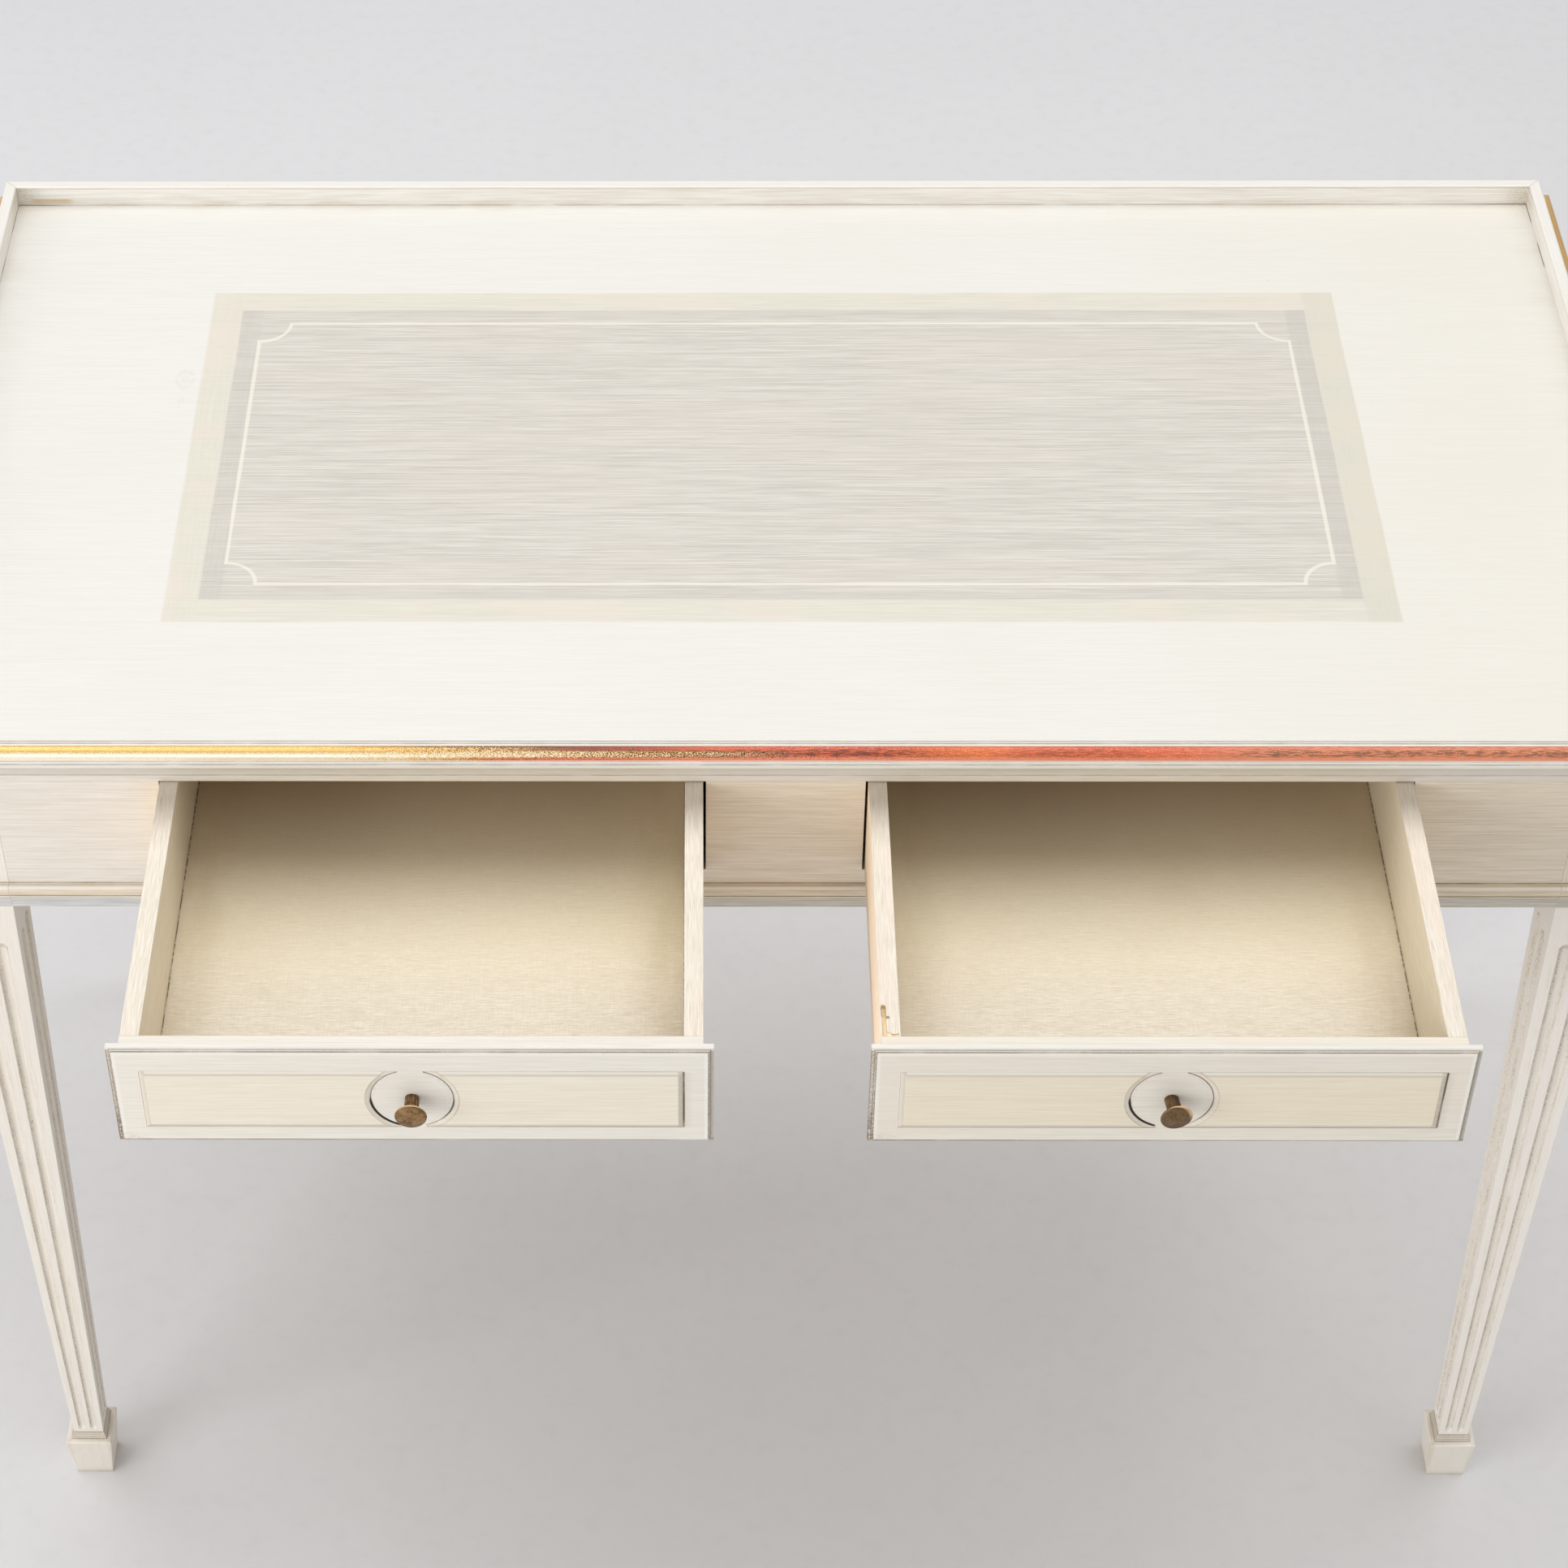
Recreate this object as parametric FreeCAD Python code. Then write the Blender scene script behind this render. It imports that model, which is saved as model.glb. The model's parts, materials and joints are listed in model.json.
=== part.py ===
import FreeCAD, Part
import math
import os

V = FreeCAD.Vector

# ---------------------------------------------------------------------------
# Writing desk: painted wood frame on four fluted tapered legs with spade feet,
# a board top with a low gallery and a gilt edge moulding, and two drawers.
# Millimetres.  X to the right, Y towards the back, Z up from the floor.
# While modelling, Y = 0 is the front edge of the top board; the finished
# pieces are moved so that the origin is under the middle of the whole object
# as it stands with its drawers drawn out.
# ---------------------------------------------------------------------------

# top board
TOP_Z = 760.0            # writing surface above the floor
BOARD_T = 24.0
BOARD_HALF = 533.8       # half length
BOARD_D = 555.5          # depth
BOARD_UNDER = TOP_Z - BOARD_T

# gallery round the back and the two ends
GAL_OUT = 531.1          # outer face of the end rails
GAL_BACK = 552.9         # outer face of the back rail
GAL_T = 7.9
GAL_SHIFT = -2.0         # the gallery sits a little to the left on the board
GAL_H = 15.0             # height above the writing surface
GAL_LET_IN = 2.0         # depth of the groove it sits in
GAL_FRONT = 0.0          # front end of the end rails, flush with the board
GAL_NOSE = 9.0           # radius of their rounded front ends

# edge moulding, measured out from the board and down from its surface
MOULD_OUT = 9.9

# frame
OVERHANG = 17.0
POST = 41.7              # square top of each leg
POST_IN = 475.1          # inner face of the posts
POST_OUT = POST_IN + POST
FRONT_Y = OVERHANG       # front face of the frame
BACK_Y = BOARD_D - OVERHANG
APRON_T = 20.0
APRON_BOTTOM = 604.0
BEAD_TOP = 624.9
TENON_L = 18.0
TENON_T = 10.0

# drawer openings
OPEN_X0 = 47.6
OPEN_X1 = 374.1
OPEN_Z0 = 636.6
OPEN_Z1 = 710.9

# legs and feet
LEG_TIP_Z = 45.7
LEG_TIP_W = 21.5
FLUTE_TOP_Z = 566.0
FLUTE_END_Z = 51.2
FLUTE_WIDTH = 0.205      # of the face width
FLUTE_DEPTH = 0.068
FLUTE_PLACE = 0.195      # centre, from the middle of the face, of its width
SPIGOT_R = 5.0
SPIGOT_L = 22.0
FOOT_TOP_Z = 39.7
FOOT_TOP_W = 33.0
FOOT_SOLE_W = 26.6

# drawers, drawn out as they stand
FACE_Y = -200.5          # front face
FACE_X0 = 46.6
FACE_X1 = 376.4
FACE_Z0 = 638.3
FACE_Z1 = 711.2
LIP_SIDE = 3.2
LIP_TOP = 2.3
LIP_BOTTOM = 2.6
LIP_STEP = 1.1           # depth behind the face where the hollow of the lip begins
LIP_MID = 2.05           # and where it is deepest
LIP_EDGE = 2.4           # and where it ends at the outer edge
LIP_BACK_Y = -195.0
BOX_X0 = 49.2
BOX_X1 = 373.3
BOX_Z0 = 637.2
BOX_Z1 = 710.2
FRONT_IN_Y = -186.5      # inner face of the drawer front
SIDE_T = 10.9
BOX_END_Y = 279.5        # back end of the drawer sides
TAIL_L = 6.0
BACK_T = 10.0
BACK_IN_Y = 262.0
BACK_Z1 = 706.0
BOTTOM_T = 5.0
BOTTOM_Z1 = 650.0
GROOVE = 4.0

# relief on the drawer fronts: raised fields with sloping edges, on both sides of a disc level with the frame
FIELD_X0 = 60.0
FIELD_X1 = 362.7
FIELD_Z0 = 649.6
FIELD_Z1 = 696.2
FIELD_BEVEL = 3.3
FIELD_RISE = 1.0
FIELD_CREASE = 0.35
DISC_X = 211.8
DISC_Z = 673.7
DISC_R = 23.0
DISC_CREASE = 0.9        # depth of the crease round the disc
DISC_CREASE_W = 0.6
NECK = 7.0               # half width of the strip that joins the disc to the frame above and below

# knobs
KNOB_R = 9.05
KNOB_SHANK_R = 4.1
KNOB_OUT = 15.3
KNOB_ASKEW = 6.5      # the right knob was driven in at a slight angle, degrees

# inside
RUNNER_T = 12.6
GUIDE_TOP = 656.0
KICKER_Z0 = 711.2
STUB = 6.0

# origin under the middle of the drawn-out object
KNOB_TIP_Y = FACE_Y - KNOB_OUT
ORIGIN_Y = (KNOB_TIP_Y + BOARD_D + MOULD_OUT) / 2.0


# ---------------------------------------------------------------------------
# helpers
# ---------------------------------------------------------------------------
def box(x0, x1, y0, y1, z0, z1):
    return Part.makeBox(x1 - x0, y1 - y0, z1 - z0, V(x0, y0, z0))


def polygon(points):
    return Part.makePolygon(list(points) + [points[0]])


def prism(points, direction):
    return Part.Face(polygon(points)).extrude(direction)


def fuse(shape, *others):
    for other in others:
        shape = shape.fuse(other)
    return shape.removeSplitter()


def cut(shape, *tools):
    for tool in tools:
        shape = shape.cut(tool)
    return shape


def mirror_x(shape):
    return shape.mirror(V(0, 0, 0), V(1, 0, 0))


def mirror_y(shape):
    return shape.mirror(V(0, BOARD_D / 2.0, 0), V(0, 1, 0))


def fillet(shape, radius, wanted):
    edges = [e for e in shape.Edges if wanted(e)]
    return shape.makeFillet(radius, edges)


def along(edge, axis):
    a, b = edge.Vertexes[0].Point, edge.Vertexes[-1].Point
    d = b - a
    if d.Length < 1e-6:
        return False
    d = d.multiply(1.0 / d.Length)
    return abs(abs(getattr(d, axis)) - 1.0) < 1e-6


def profile_wire(steps, place):
    """steps: ('l', out, z) or ('a', mid_out, mid_z, out, z); place maps (out, z) to 3-D."""
    edges = []
    start = steps[0][1:]
    here = start
    for s in steps[1:]:
        if s[0] == "l":
            edges.append(Part.LineSegment(place(*here), place(s[1], s[2])).toShape())
            here = (s[1], s[2])
        else:
            edges.append(Part.Arc(place(*here), place(s[1], s[2]), place(s[3], s[4])).toShape())
            here = (s[3], s[4])
    edges.append(Part.LineSegment(place(*here), place(*start)).toShape())
    return Part.Wire(edges)


NODES = {}


def add(name, shape):
    NODES[name] = shape


# ---------------------------------------------------------------------------
# gallery: three rails, mitred at the back corners, let into the board
# ---------------------------------------------------------------------------
z0, z1 = TOP_Z - GAL_LET_IN, TOP_Z + GAL_H
far = 40.0
rail = box(-GAL_OUT, GAL_OUT, GAL_BACK - GAL_T, GAL_BACK, z0, z1)
rail = fillet(rail, 1.1, lambda e: along(e, "x") and e.CenterOfMass.z > z1 - 0.1)
mitre = prism([V(-GAL_OUT, GAL_BACK, z0 - 5), V(GAL_OUT, GAL_BACK, z0 - 5),
               V(GAL_OUT - far, GAL_BACK - far, z0 - 5), V(-GAL_OUT + far, GAL_BACK - far, z0 - 5)], V(0, 0, 40))
gallery_back = rail.common(mitre)

rail = box(-GAL_OUT, -GAL_OUT + GAL_T, GAL_FRONT, GAL_BACK, z0, z1)
rail = fillet(rail, GAL_NOSE, lambda e: along(e, "x") and e.CenterOfMass.z > z1 - 0.1 and e.CenterOfMass.y < GAL_FRONT + 1)
rail = fillet(rail, 1.1, lambda e: e.CenterOfMass.z > z1 - GAL_NOSE * 0.75 and not along(e, "x")
              and e.CenterOfMass.y < GAL_BACK - 1 and abs(e.CenterOfMass.z - (z0 + z1) / 2) > 1.0
              and abs(abs(e.CenterOfMass.x + GAL_OUT - GAL_T / 2) - GAL_T / 2) < 0.05 and not along(e, "z"))
mitre = prism([V(-GAL_OUT, GAL_BACK, z0 - 5), V(-GAL_OUT, -10, z0 - 5),
               V(-GAL_OUT + far, -10, z0 - 5), V(-GAL_OUT + far, GAL_BACK - far, z0 - 5)], V(0, 0, 40))
gallery_left = rail.common(mitre)


def set_over(shape):
    moved = shape.copy()
    moved.translate(V(GAL_SHIFT, 0, 0))
    return moved


add("gallery_back", set_over(gallery_back))
add("gallery_left", set_over(gallery_left))
add("gallery_right", set_over(mirror_x(gallery_left)))

# ---------------------------------------------------------------------------
# top board, grooved for the gallery
# ---------------------------------------------------------------------------
groove_back = box(-GAL_OUT, GAL_OUT, GAL_BACK - GAL_T, GAL_BACK, TOP_Z - GAL_LET_IN, TOP_Z + 1)
groove_left = box(-GAL_OUT, -GAL_OUT + GAL_T, GAL_FRONT - 1.0, GAL_BACK, TOP_Z - GAL_LET_IN, TOP_Z + 1)
top_panel = box(-BOARD_HALF, BOARD_HALF, 0, BOARD_D, BOARD_UNDER, TOP_Z)
top_panel = cut(top_panel, set_over(groove_back), set_over(groove_left), set_over(mirror_x(groove_left)))

# ---------------------------------------------------------------------------
# edge moulding: fillets, a gilt ovolo, two fillets and a hollow, mitred
# ---------------------------------------------------------------------------
EDGE = [("s", 0.0, -0.8), ("l", 0.9, -0.8), ("l", 0.9, -1.7), ("l", 2.3, -1.8), ("l", 2.4, -2.5),
        ("a", 6.55, -4.2, 8.2, -8.4), ("l", 8.2, -9.3), ("l", 9.2, -9.4), ("l", 9.2, -10.9),
        ("l", MOULD_OUT, -11.0), ("l", MOULD_OUT, -13.0), ("a", 6.55, -17.6, 4.6, -BOARD_T), ("l", 0.0, -BOARD_T)]


def edge_strip(length, place, direction):
    return Part.Face(profile_wire(EDGE, place)).extrude(direction * length)


R = MOULD_OUT + 20.0
L = 2 * (BOARD_HALF + R)
strip = edge_strip(L, lambda o, z: V(-BOARD_HALF - R, -o, TOP_Z + z), V(1, 0, 0))
mitre = prism([V(-BOARD_HALF, 0, 700), V(BOARD_HALF, 0, 700), V(BOARD_HALF + R, -R, 700), V(-BOARD_HALF - R, -R, 700)], V(0, 0, 100))
edge_front = strip.common(mitre)
strip = edge_strip(BOARD_D + 2 * R, lambda o, z: V(-BOARD_HALF - o, -R, TOP_Z + z), V(0, 1, 0))
mitre = prism([V(-BOARD_HALF, 0, 700), V(-BOARD_HALF, BOARD_D, 700), V(-BOARD_HALF - R, BOARD_D + R, 700), V(-BOARD_HALF - R, -R, 700)], V(0, 0, 100))
edge_left = strip.common(mitre)
add("edge_moulding_front", edge_front)
add("edge_moulding_back", mirror_y(edge_front))
add("edge_moulding_left", edge_left)
add("edge_moulding_right", mirror_x(edge_left))

# ---------------------------------------------------------------------------
# bead and chamfer worked along the bottom of the aprons and posts
# ---------------------------------------------------------------------------
BEAD = [("s", -3.0, BEAD_TOP), ("l", 0.0, BEAD_TOP), ("l", 0.9, BEAD_TOP - 0.5), ("a", 5.2, BEAD_TOP - 4.3, 1.2, BEAD_TOP - 8.3),
        ("l", 3.3, BEAD_TOP - 8.6), ("l", 3.4, BEAD_TOP - 9.4), ("l", 0.0, APRON_BOTTOM), ("l", -3.0, APRON_BOTTOM)]
BEAD_FAR = 12.0


def bead_run(length, place, direction):
    return Part.Face(profile_wire(BEAD, place)).extrude(direction * length)


# tenons, kept so that their mortises can be cut
def tenon_x(side, y0, y1, za, zb, length=TENON_L):
    return box(side * POST_IN, side * (POST_IN + length), y0, y1, za, zb) if side > 0 else \
        box(-(POST_IN + length), -POST_IN, y0, y1, za, zb)


TY0, TY1 = FRONT_Y + 5.0, FRONT_Y + 5.0 + TENON_T
upper_tenon = tenon_x(-1, TY0, TY1, OPEN_Z1 + 5.0, BOARD_UNDER - 6.0)
lower_tenon = tenon_x(-1, TY0, TY1, APRON_BOTTOM + 6.0, OPEN_Z0 - 5.0)
stile_tongue = tenon_x(-1, TY0, TY1, OPEN_Z0 + 12.0, OPEN_Z1 - 12.0, 8.0)
SX0, SX1 = POST_OUT - 5.0 - TENON_T, POST_OUT - 5.0
side_tenon_front = box(-SX1, -SX0, FRONT_Y + POST - TENON_L, FRONT_Y + POST, APRON_BOTTOM + 12.0, BOARD_UNDER - 14.0)
BY0, BY1 = BACK_Y - 5.0 - TENON_T, BACK_Y - 5.0
back_tenon = tenon_x(-1, BY0, BY1, APRON_BOTTOM + 12.0, BOARD_UNDER - 14.0)

# front rails and stiles
rail = box(-POST_IN, POST_IN, FRONT_Y, FRONT_Y + APRON_T, OPEN_Z1, BOARD_UNDER)
front_rail_upper = fuse(rail, upper_tenon, mirror_x(upper_tenon))
rail = fuse(box(-POST_IN, POST_IN, FRONT_Y, FRONT_Y + APRON_T, APRON_BOTTOM, OPEN_Z0),
            bead_run(2 * POST_IN, lambda o, z: V(-POST_IN, FRONT_Y - o, z), V(1, 0, 0)))
front_rail_lower = fuse(rail, lower_tenon, mirror_x(lower_tenon))

stile_pegs = [box(-(POST_IN - 12.0), -(OPEN_X1 + 12.0), TY0 + 1, TY1 - 1, OPEN_Z1, OPEN_Z1 + 8.0),
              box(-(POST_IN - 12.0), -(OPEN_X1 + 12.0), TY0 + 1, TY1 - 1, OPEN_Z0 - 8.0, OPEN_Z0)]
centre_pegs = [box(-OPEN_X0 + 10.0, OPEN_X0 - 10.0, TY0 + 1, TY1 - 1, OPEN_Z1, OPEN_Z1 + 8.0),
               box(-OPEN_X0 + 10.0, OPEN_X0 - 10.0, TY0 + 1, TY1 - 1, OPEN_Z0 - 8.0, OPEN_Z0)]
front_stile_left = fuse(box(-POST_IN, -OPEN_X1, FRONT_Y, FRONT_Y + APRON_T, OPEN_Z0, OPEN_Z1), stile_tongue, *stile_pegs)
front_stile_centre = fuse(box(-OPEN_X0, OPEN_X0, FRONT_Y, FRONT_Y + APRON_T, OPEN_Z0, OPEN_Z1), *centre_pegs)
front_rail_upper = cut(front_rail_upper, stile_pegs[0], mirror_x(stile_pegs[0]), centre_pegs[0])
front_rail_lower = cut(front_rail_lower, stile_pegs[1], mirror_x(stile_pegs[1]), centre_pegs[1])

# side and back aprons
side = fuse(box(-POST_OUT, -POST_OUT + APRON_T, FRONT_Y + POST, BACK_Y - POST, APRON_BOTTOM, BOARD_UNDER),
            bead_run(BACK_Y - FRONT_Y - 2 * POST, lambda o, z: V(-POST_OUT - o, FRONT_Y + POST, z), V(0, 1, 0)),
            side_tenon_front, mirror_y(side_tenon_front))
back = fuse(box(-POST_IN, POST_IN, BACK_Y - APRON_T, BACK_Y, APRON_BOTTOM, BOARD_UNDER),
            bead_run(2 * POST_IN, lambda o, z: V(-POST_IN, BACK_Y + o, z), V(1, 0, 0)),
            back_tenon, mirror_x(back_tenon))

# ---------------------------------------------------------------------------
# legs: square post with the bead, fluted taper, round spigot for the foot
# ---------------------------------------------------------------------------
LEG_X = -(POST_IN + POST / 2.0)
LEG_Y = FRONT_Y + POST / 2.0


def square(half, z, cx=LEG_X, cy=LEG_Y):
    return polygon([V(cx - half, cy - half, z), V(cx + half, cy - half, z), V(cx + half, cy + half, z), V(cx - half, cy + half, z)])


def face_half(z):
    t = (APRON_BOTTOM - z) / (APRON_BOTTOM - LEG_TIP_Z)
    return (POST + (LEG_TIP_W - POST) * t) / 2.0


def flute(turn, side):
    """One tapering groove with rounded ends in the face that looks along the turned -Y."""
    ends = []
    for z in (FLUTE_TOP_Z, FLUTE_END_Z):
        h = face_half(z)
        w = FLUTE_WIDTH * 2 * h
        d = FLUTE_DEPTH * 2 * h
        r = (w * w / 4.0 + d * d) / (2.0 * d)
        e = r - d
        ends.append((V(side * FLUTE_PLACE * 2 * h, -h - e, z), r))
    (p0, r0), (p1, r1) = ends
    d = p1 - p0
    body = Part.makeCone(r0, r1, d.Length, p0, d)
    tool = body.fuse(Part.makeSphere(r0, p0)).fuse(Part.makeSphere(r1, p1))
    tool.rotate(V(0, 0, 0), V(0, 0, 1), turn)
    tool.translate(V(LEG_X, LEG_Y, 0))
    return tool


def post_bead():
    front = bead_run(POST + 2 * BEAD_FAR, lambda o, z: V(-POST_OUT - BEAD_FAR, FRONT_Y - o, z), V(1, 0, 0))
    keep = prism([V(-POST_OUT - BEAD_FAR, FRONT_Y - BEAD_FAR, 590), V(-POST_IN, FRONT_Y - BEAD_FAR, 590),
                  V(-POST_IN, FRONT_Y + 4, 590), V(-POST_OUT + 4, FRONT_Y + 4, 590)], V(0, 0, 60))
    front = front.common(keep)
    outer = bead_run(POST + 2 * BEAD_FAR, lambda o, z: V(-POST_OUT - o, FRONT_Y - BEAD_FAR, z), V(0, 1, 0))
    keep = prism([V(-POST_OUT - BEAD_FAR, FRONT_Y - BEAD_FAR, 590), V(-POST_OUT - BEAD_FAR, FRONT_Y + POST, 590),
                  V(-POST_OUT + 4, FRONT_Y + POST, 590), V(-POST_OUT + 4, FRONT_Y + 4, 590)], V(0, 0, 60))
    return front, outer.common(keep)


post = box(-POST_OUT, -POST_IN, FRONT_Y, FRONT_Y + POST, APRON_BOTTOM, BOARD_UNDER)
shaft = Part.makeLoft([square(POST / 2.0, APRON_BOTTOM), square(LEG_TIP_W / 2.0, LEG_TIP_Z)], True, True)
spigot = Part.makeCylinder(SPIGOT_R, SPIGOT_L, V(LEG_X, LEG_Y, LEG_TIP_Z - SPIGOT_L), V(0, 0, 1))
for turn in (0, 90, 180, 270):
    for s in (-1, 1):
        shaft = shaft.cut(flute(turn, s))
leg = fuse(post, shaft, spigot, *post_bead())
leg_front_left = cut(leg, upper_tenon, lower_tenon, stile_tongue, side_tenon_front)
leg_back_left = cut(mirror_y(leg), back_tenon, mirror_y(side_tenon_front))

# spade foot: tapering block, rounded at the top, with a ribbed collar
block = Part.makeLoft([square(FOOT_SOLE_W / 2.0, 0.0), square(FOOT_TOP_W / 2.0, FOOT_TOP_Z)], True, True)
block = fillet(block, 0.8, lambda e: abs(e.Vertexes[0].Point.z - e.Vertexes[-1].Point.z) > 10)
block = fillet(block, 1.3, lambda e: e.BoundBox.ZMin > FOOT_TOP_Z - 0.05)
ribs = []
h, z = 12.7, FOOT_TOP_Z
while z < LEG_TIP_Z - 0.05:
    rise = (LEG_TIP_Z - FOOT_TOP_Z) / 3.0
    rib = Part.makeLoft([square(h, z), square(h - 0.4, z + rise)], True, True)
    ribs.append(rib)
    h -= 0.6
    z += rise
foot = fuse(block, *ribs)
hole = Part.makeCylinder(SPIGOT_R, SPIGOT_L + 0.5, V(LEG_X, LEG_Y, LEG_TIP_Z - SPIGOT_L - 0.5), V(0, 0, 1))
foot_front_left = cut(foot, hole)

# ---------------------------------------------------------------------------
# runners with guides, and kickers, housed in the front rails and the back apron
# ---------------------------------------------------------------------------
RY0, RY1 = FRONT_Y + APRON_T, BACK_Y - APRON_T


def housed(x0, x1, za, zb, sx0, sx1, sza, szb):
    bar = box(x0, x1, RY0, RY1, za, zb)
    return fuse(bar, box(sx0, sx1, RY0 - STUB, RY0, sza, szb)), fuse(bar, box(sx0, sx1, RY0 - STUB, RY1 + STUB, sza, szb))


def runner(x0, x1, gx0, gx1):
    bar = fuse(box(x0, x1, RY0, RY1, OPEN_Z0 - RUNNER_T, OPEN_Z0), box(gx0, gx1, RY0, RY1, OPEN_Z0, GUIDE_TOP))
    stubs = [box(x0 + 5, x1 - 5, RY0 - STUB, RY0, OPEN_Z0 - RUNNER_T + 2, OPEN_Z0 - 3),
             box(x0 + 5, x1 - 5, RY1, RY1 + STUB, OPEN_Z0 - RUNNER_T + 2, OPEN_Z0 - 3)]
    return fuse(bar, *stubs), stubs


def kicker(x0, x1):
    stubs = [box(x0 + 4, x1 - 4, RY0 - STUB, RY0, KICKER_Z0 + 5, BOARD_UNDER - 5),
             box(x0 + 4, x1 - 4, RY1, RY1 + STUB, KICKER_Z0 + 5, BOARD_UNDER - 5)]
    return fuse(box(x0, x1, RY0, RY1, KICKER_Z0, BOARD_UNDER), *stubs), stubs


runner_left, stubs_a = runner(-396.0, -356.0, -396.0, -OPEN_X1 - 0.2)
runner_centre, stubs_b = runner(-66.0, 66.0, -OPEN_X0 + 0.2, OPEN_X0 - 0.2)
kicker_left, stubs_c = kicker(-390.0, -354.0)
kicker_centre, stubs_d = kicker(-66.0, 66.0)
front_rail_lower = cut(front_rail_lower, stubs_a[0], mirror_x(stubs_a[0]), stubs_b[0])
front_rail_upper = cut(front_rail_upper, stubs_c[0], mirror_x(stubs_c[0]), stubs_d[0])
back = cut(back, stubs_a[1], mirror_x(stubs_a[1]), stubs_b[1], stubs_c[1], mirror_x(stubs_c[1]), stubs_d[1])

# ---------------------------------------------------------------------------
# corner blocks behind the posts, each with a screw up into the top board
# ---------------------------------------------------------------------------
CB_Z0 = 702.0
corner = prism([V(-(POST_IN - 42.0), FRONT_Y + APRON_T, CB_Z0), V(-POST_IN, FRONT_Y + APRON_T, CB_Z0),
                V(-POST_IN, FRONT_Y + POST, CB_Z0), V(-(POST_OUT - APRON_T), FRONT_Y + POST, CB_Z0),
                V(-(POST_OUT - APRON_T), FRONT_Y + POST + 42.0, CB_Z0)], V(0, 0, BOARD_UNDER - CB_Z0))
SCREW = V(-(POST_IN - 8.0), FRONT_Y + POST + 8.0, 0)
head = Part.makeCone(4.3, 2.1, 2.6, V(SCREW.x, SCREW.y, CB_Z0), V(0, 0, 1))
screw = head.fuse(Part.makeCylinder(2.1, 46.0, V(SCREW.x, SCREW.y, CB_Z0), V(0, 0, 1)))
slot = box(SCREW.x - 5, SCREW.x + 5, SCREW.y - 0.5, SCREW.y + 0.5, CB_Z0 - 1, CB_Z0 + 1.1)
screw = screw.removeSplitter()
screws = [screw, mirror_x(screw), mirror_y(screw), mirror_x(mirror_y(screw))]
corner_front_left = cut(corner, screw)
top_panel = cut(top_panel, *screws)
slotted = cut(screw, slot)
slotted = [slotted, mirror_x(slotted), mirror_y(slotted), mirror_x(mirror_y(slotted))]

add("top_panel", top_panel)
add("leg_front_left", leg_front_left)
add("leg_front_right", mirror_x(leg_front_left))
add("leg_back_left", leg_back_left)
add("leg_back_right", mirror_x(leg_back_left))
add("foot_front_left", foot_front_left)
add("foot_front_right", mirror_x(foot_front_left))
add("foot_back_left", mirror_y(foot_front_left))
add("foot_back_right", mirror_x(mirror_y(foot_front_left)))
add("front_rail_upper", front_rail_upper)
add("front_rail_lower", front_rail_lower)
add("front_stile_left", front_stile_left)
add("front_stile_centre", front_stile_centre)
add("front_stile_right", mirror_x(front_stile_left))
add("apron_left", side)
add("apron_right", mirror_x(side))
add("apron_back", back)
add("runner_left", runner_left)
add("runner_centre", runner_centre)
add("runner_right", mirror_x(runner_left))
add("kicker_left", kicker_left)
add("kicker_centre", kicker_centre)
add("kicker_right", mirror_x(kicker_left))
add("corner_block_front_left", corner_front_left)
add("corner_block_front_right", mirror_x(corner_front_left))
add("corner_block_back_left", mirror_y(corner_front_left))
add("corner_block_back_right", mirror_x(mirror_y(corner_front_left)))
add("top_screws", Part.makeCompound(slotted))


# ---------------------------------------------------------------------------
# drawers (left one; the right one is its mirror image)
# ---------------------------------------------------------------------------
def rect_xz(x0, x1, za, zb, y):
    return polygon([V(x0, y, za), V(x1, y, za), V(x1, y, zb), V(x0, y, zb)])


def tails(x0, x1, grow=0.0):
    """Two dovetail tails that run forward from the end of a drawer side."""
    out = []
    for za, zb in ((655.0, 674.0), (686.0, 702.0)):
        pts = [V(x0, FRONT_IN_Y, za), V(x0, FRONT_IN_Y, zb), V(x0, FRONT_IN_Y - TAIL_L, zb + 2.0), V(x0, FRONT_IN_Y - TAIL_L, za - 2.0)]
        out.append(prism(pts, V(x1 - x0, 0, 0)))
    return out


lx0, lx1 = -FACE_X1 - LIP_SIDE, -FACE_X0 + LIP_SIDE
lz0, lz1 = FACE_Z0 - LIP_BOTTOM, FACE_Z1 + LIP_TOP


def lip_section(share, depth):
    return rect_xz(-FACE_X1 - LIP_SIDE * share, -FACE_X0 + LIP_SIDE * share, FACE_Z0 - LIP_BOTTOM * share, FACE_Z1 + LIP_TOP * share, FACE_Y + depth)


hollow = Part.makeLoft([lip_section(0.0, LIP_STEP), lip_section(0.42, LIP_MID), lip_section(1.0, LIP_EDGE)], True, True)
lip = fuse(box(lx0, lx1, FACE_Y + LIP_EDGE, LIP_BACK_Y, lz0, lz1), hollow)
face = box(-FACE_X1, -FACE_X0, FACE_Y, LIP_BACK_Y, FACE_Z0, FACE_Z1)
inner = box(-BOX_X1, -BOX_X0, LIP_BACK_Y, FRONT_IN_Y, BOX_Z0, BOX_Z1)
front = fuse(lip, face, inner)


field_lo, field_hi = FACE_Y + FIELD_CREASE, FACE_Y - FIELD_RISE
grow = FIELD_BEVEL / (FIELD_RISE + FIELD_CREASE)


def disc_cylinder(r, y):
    """Cylinder on the disc's axis that comes forward from y."""
    return Part.makeCylinder(r, y - FACE_Y + 3.0, V(-DISC_X, y, DISC_Z), V(0, -1, 0))


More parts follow.
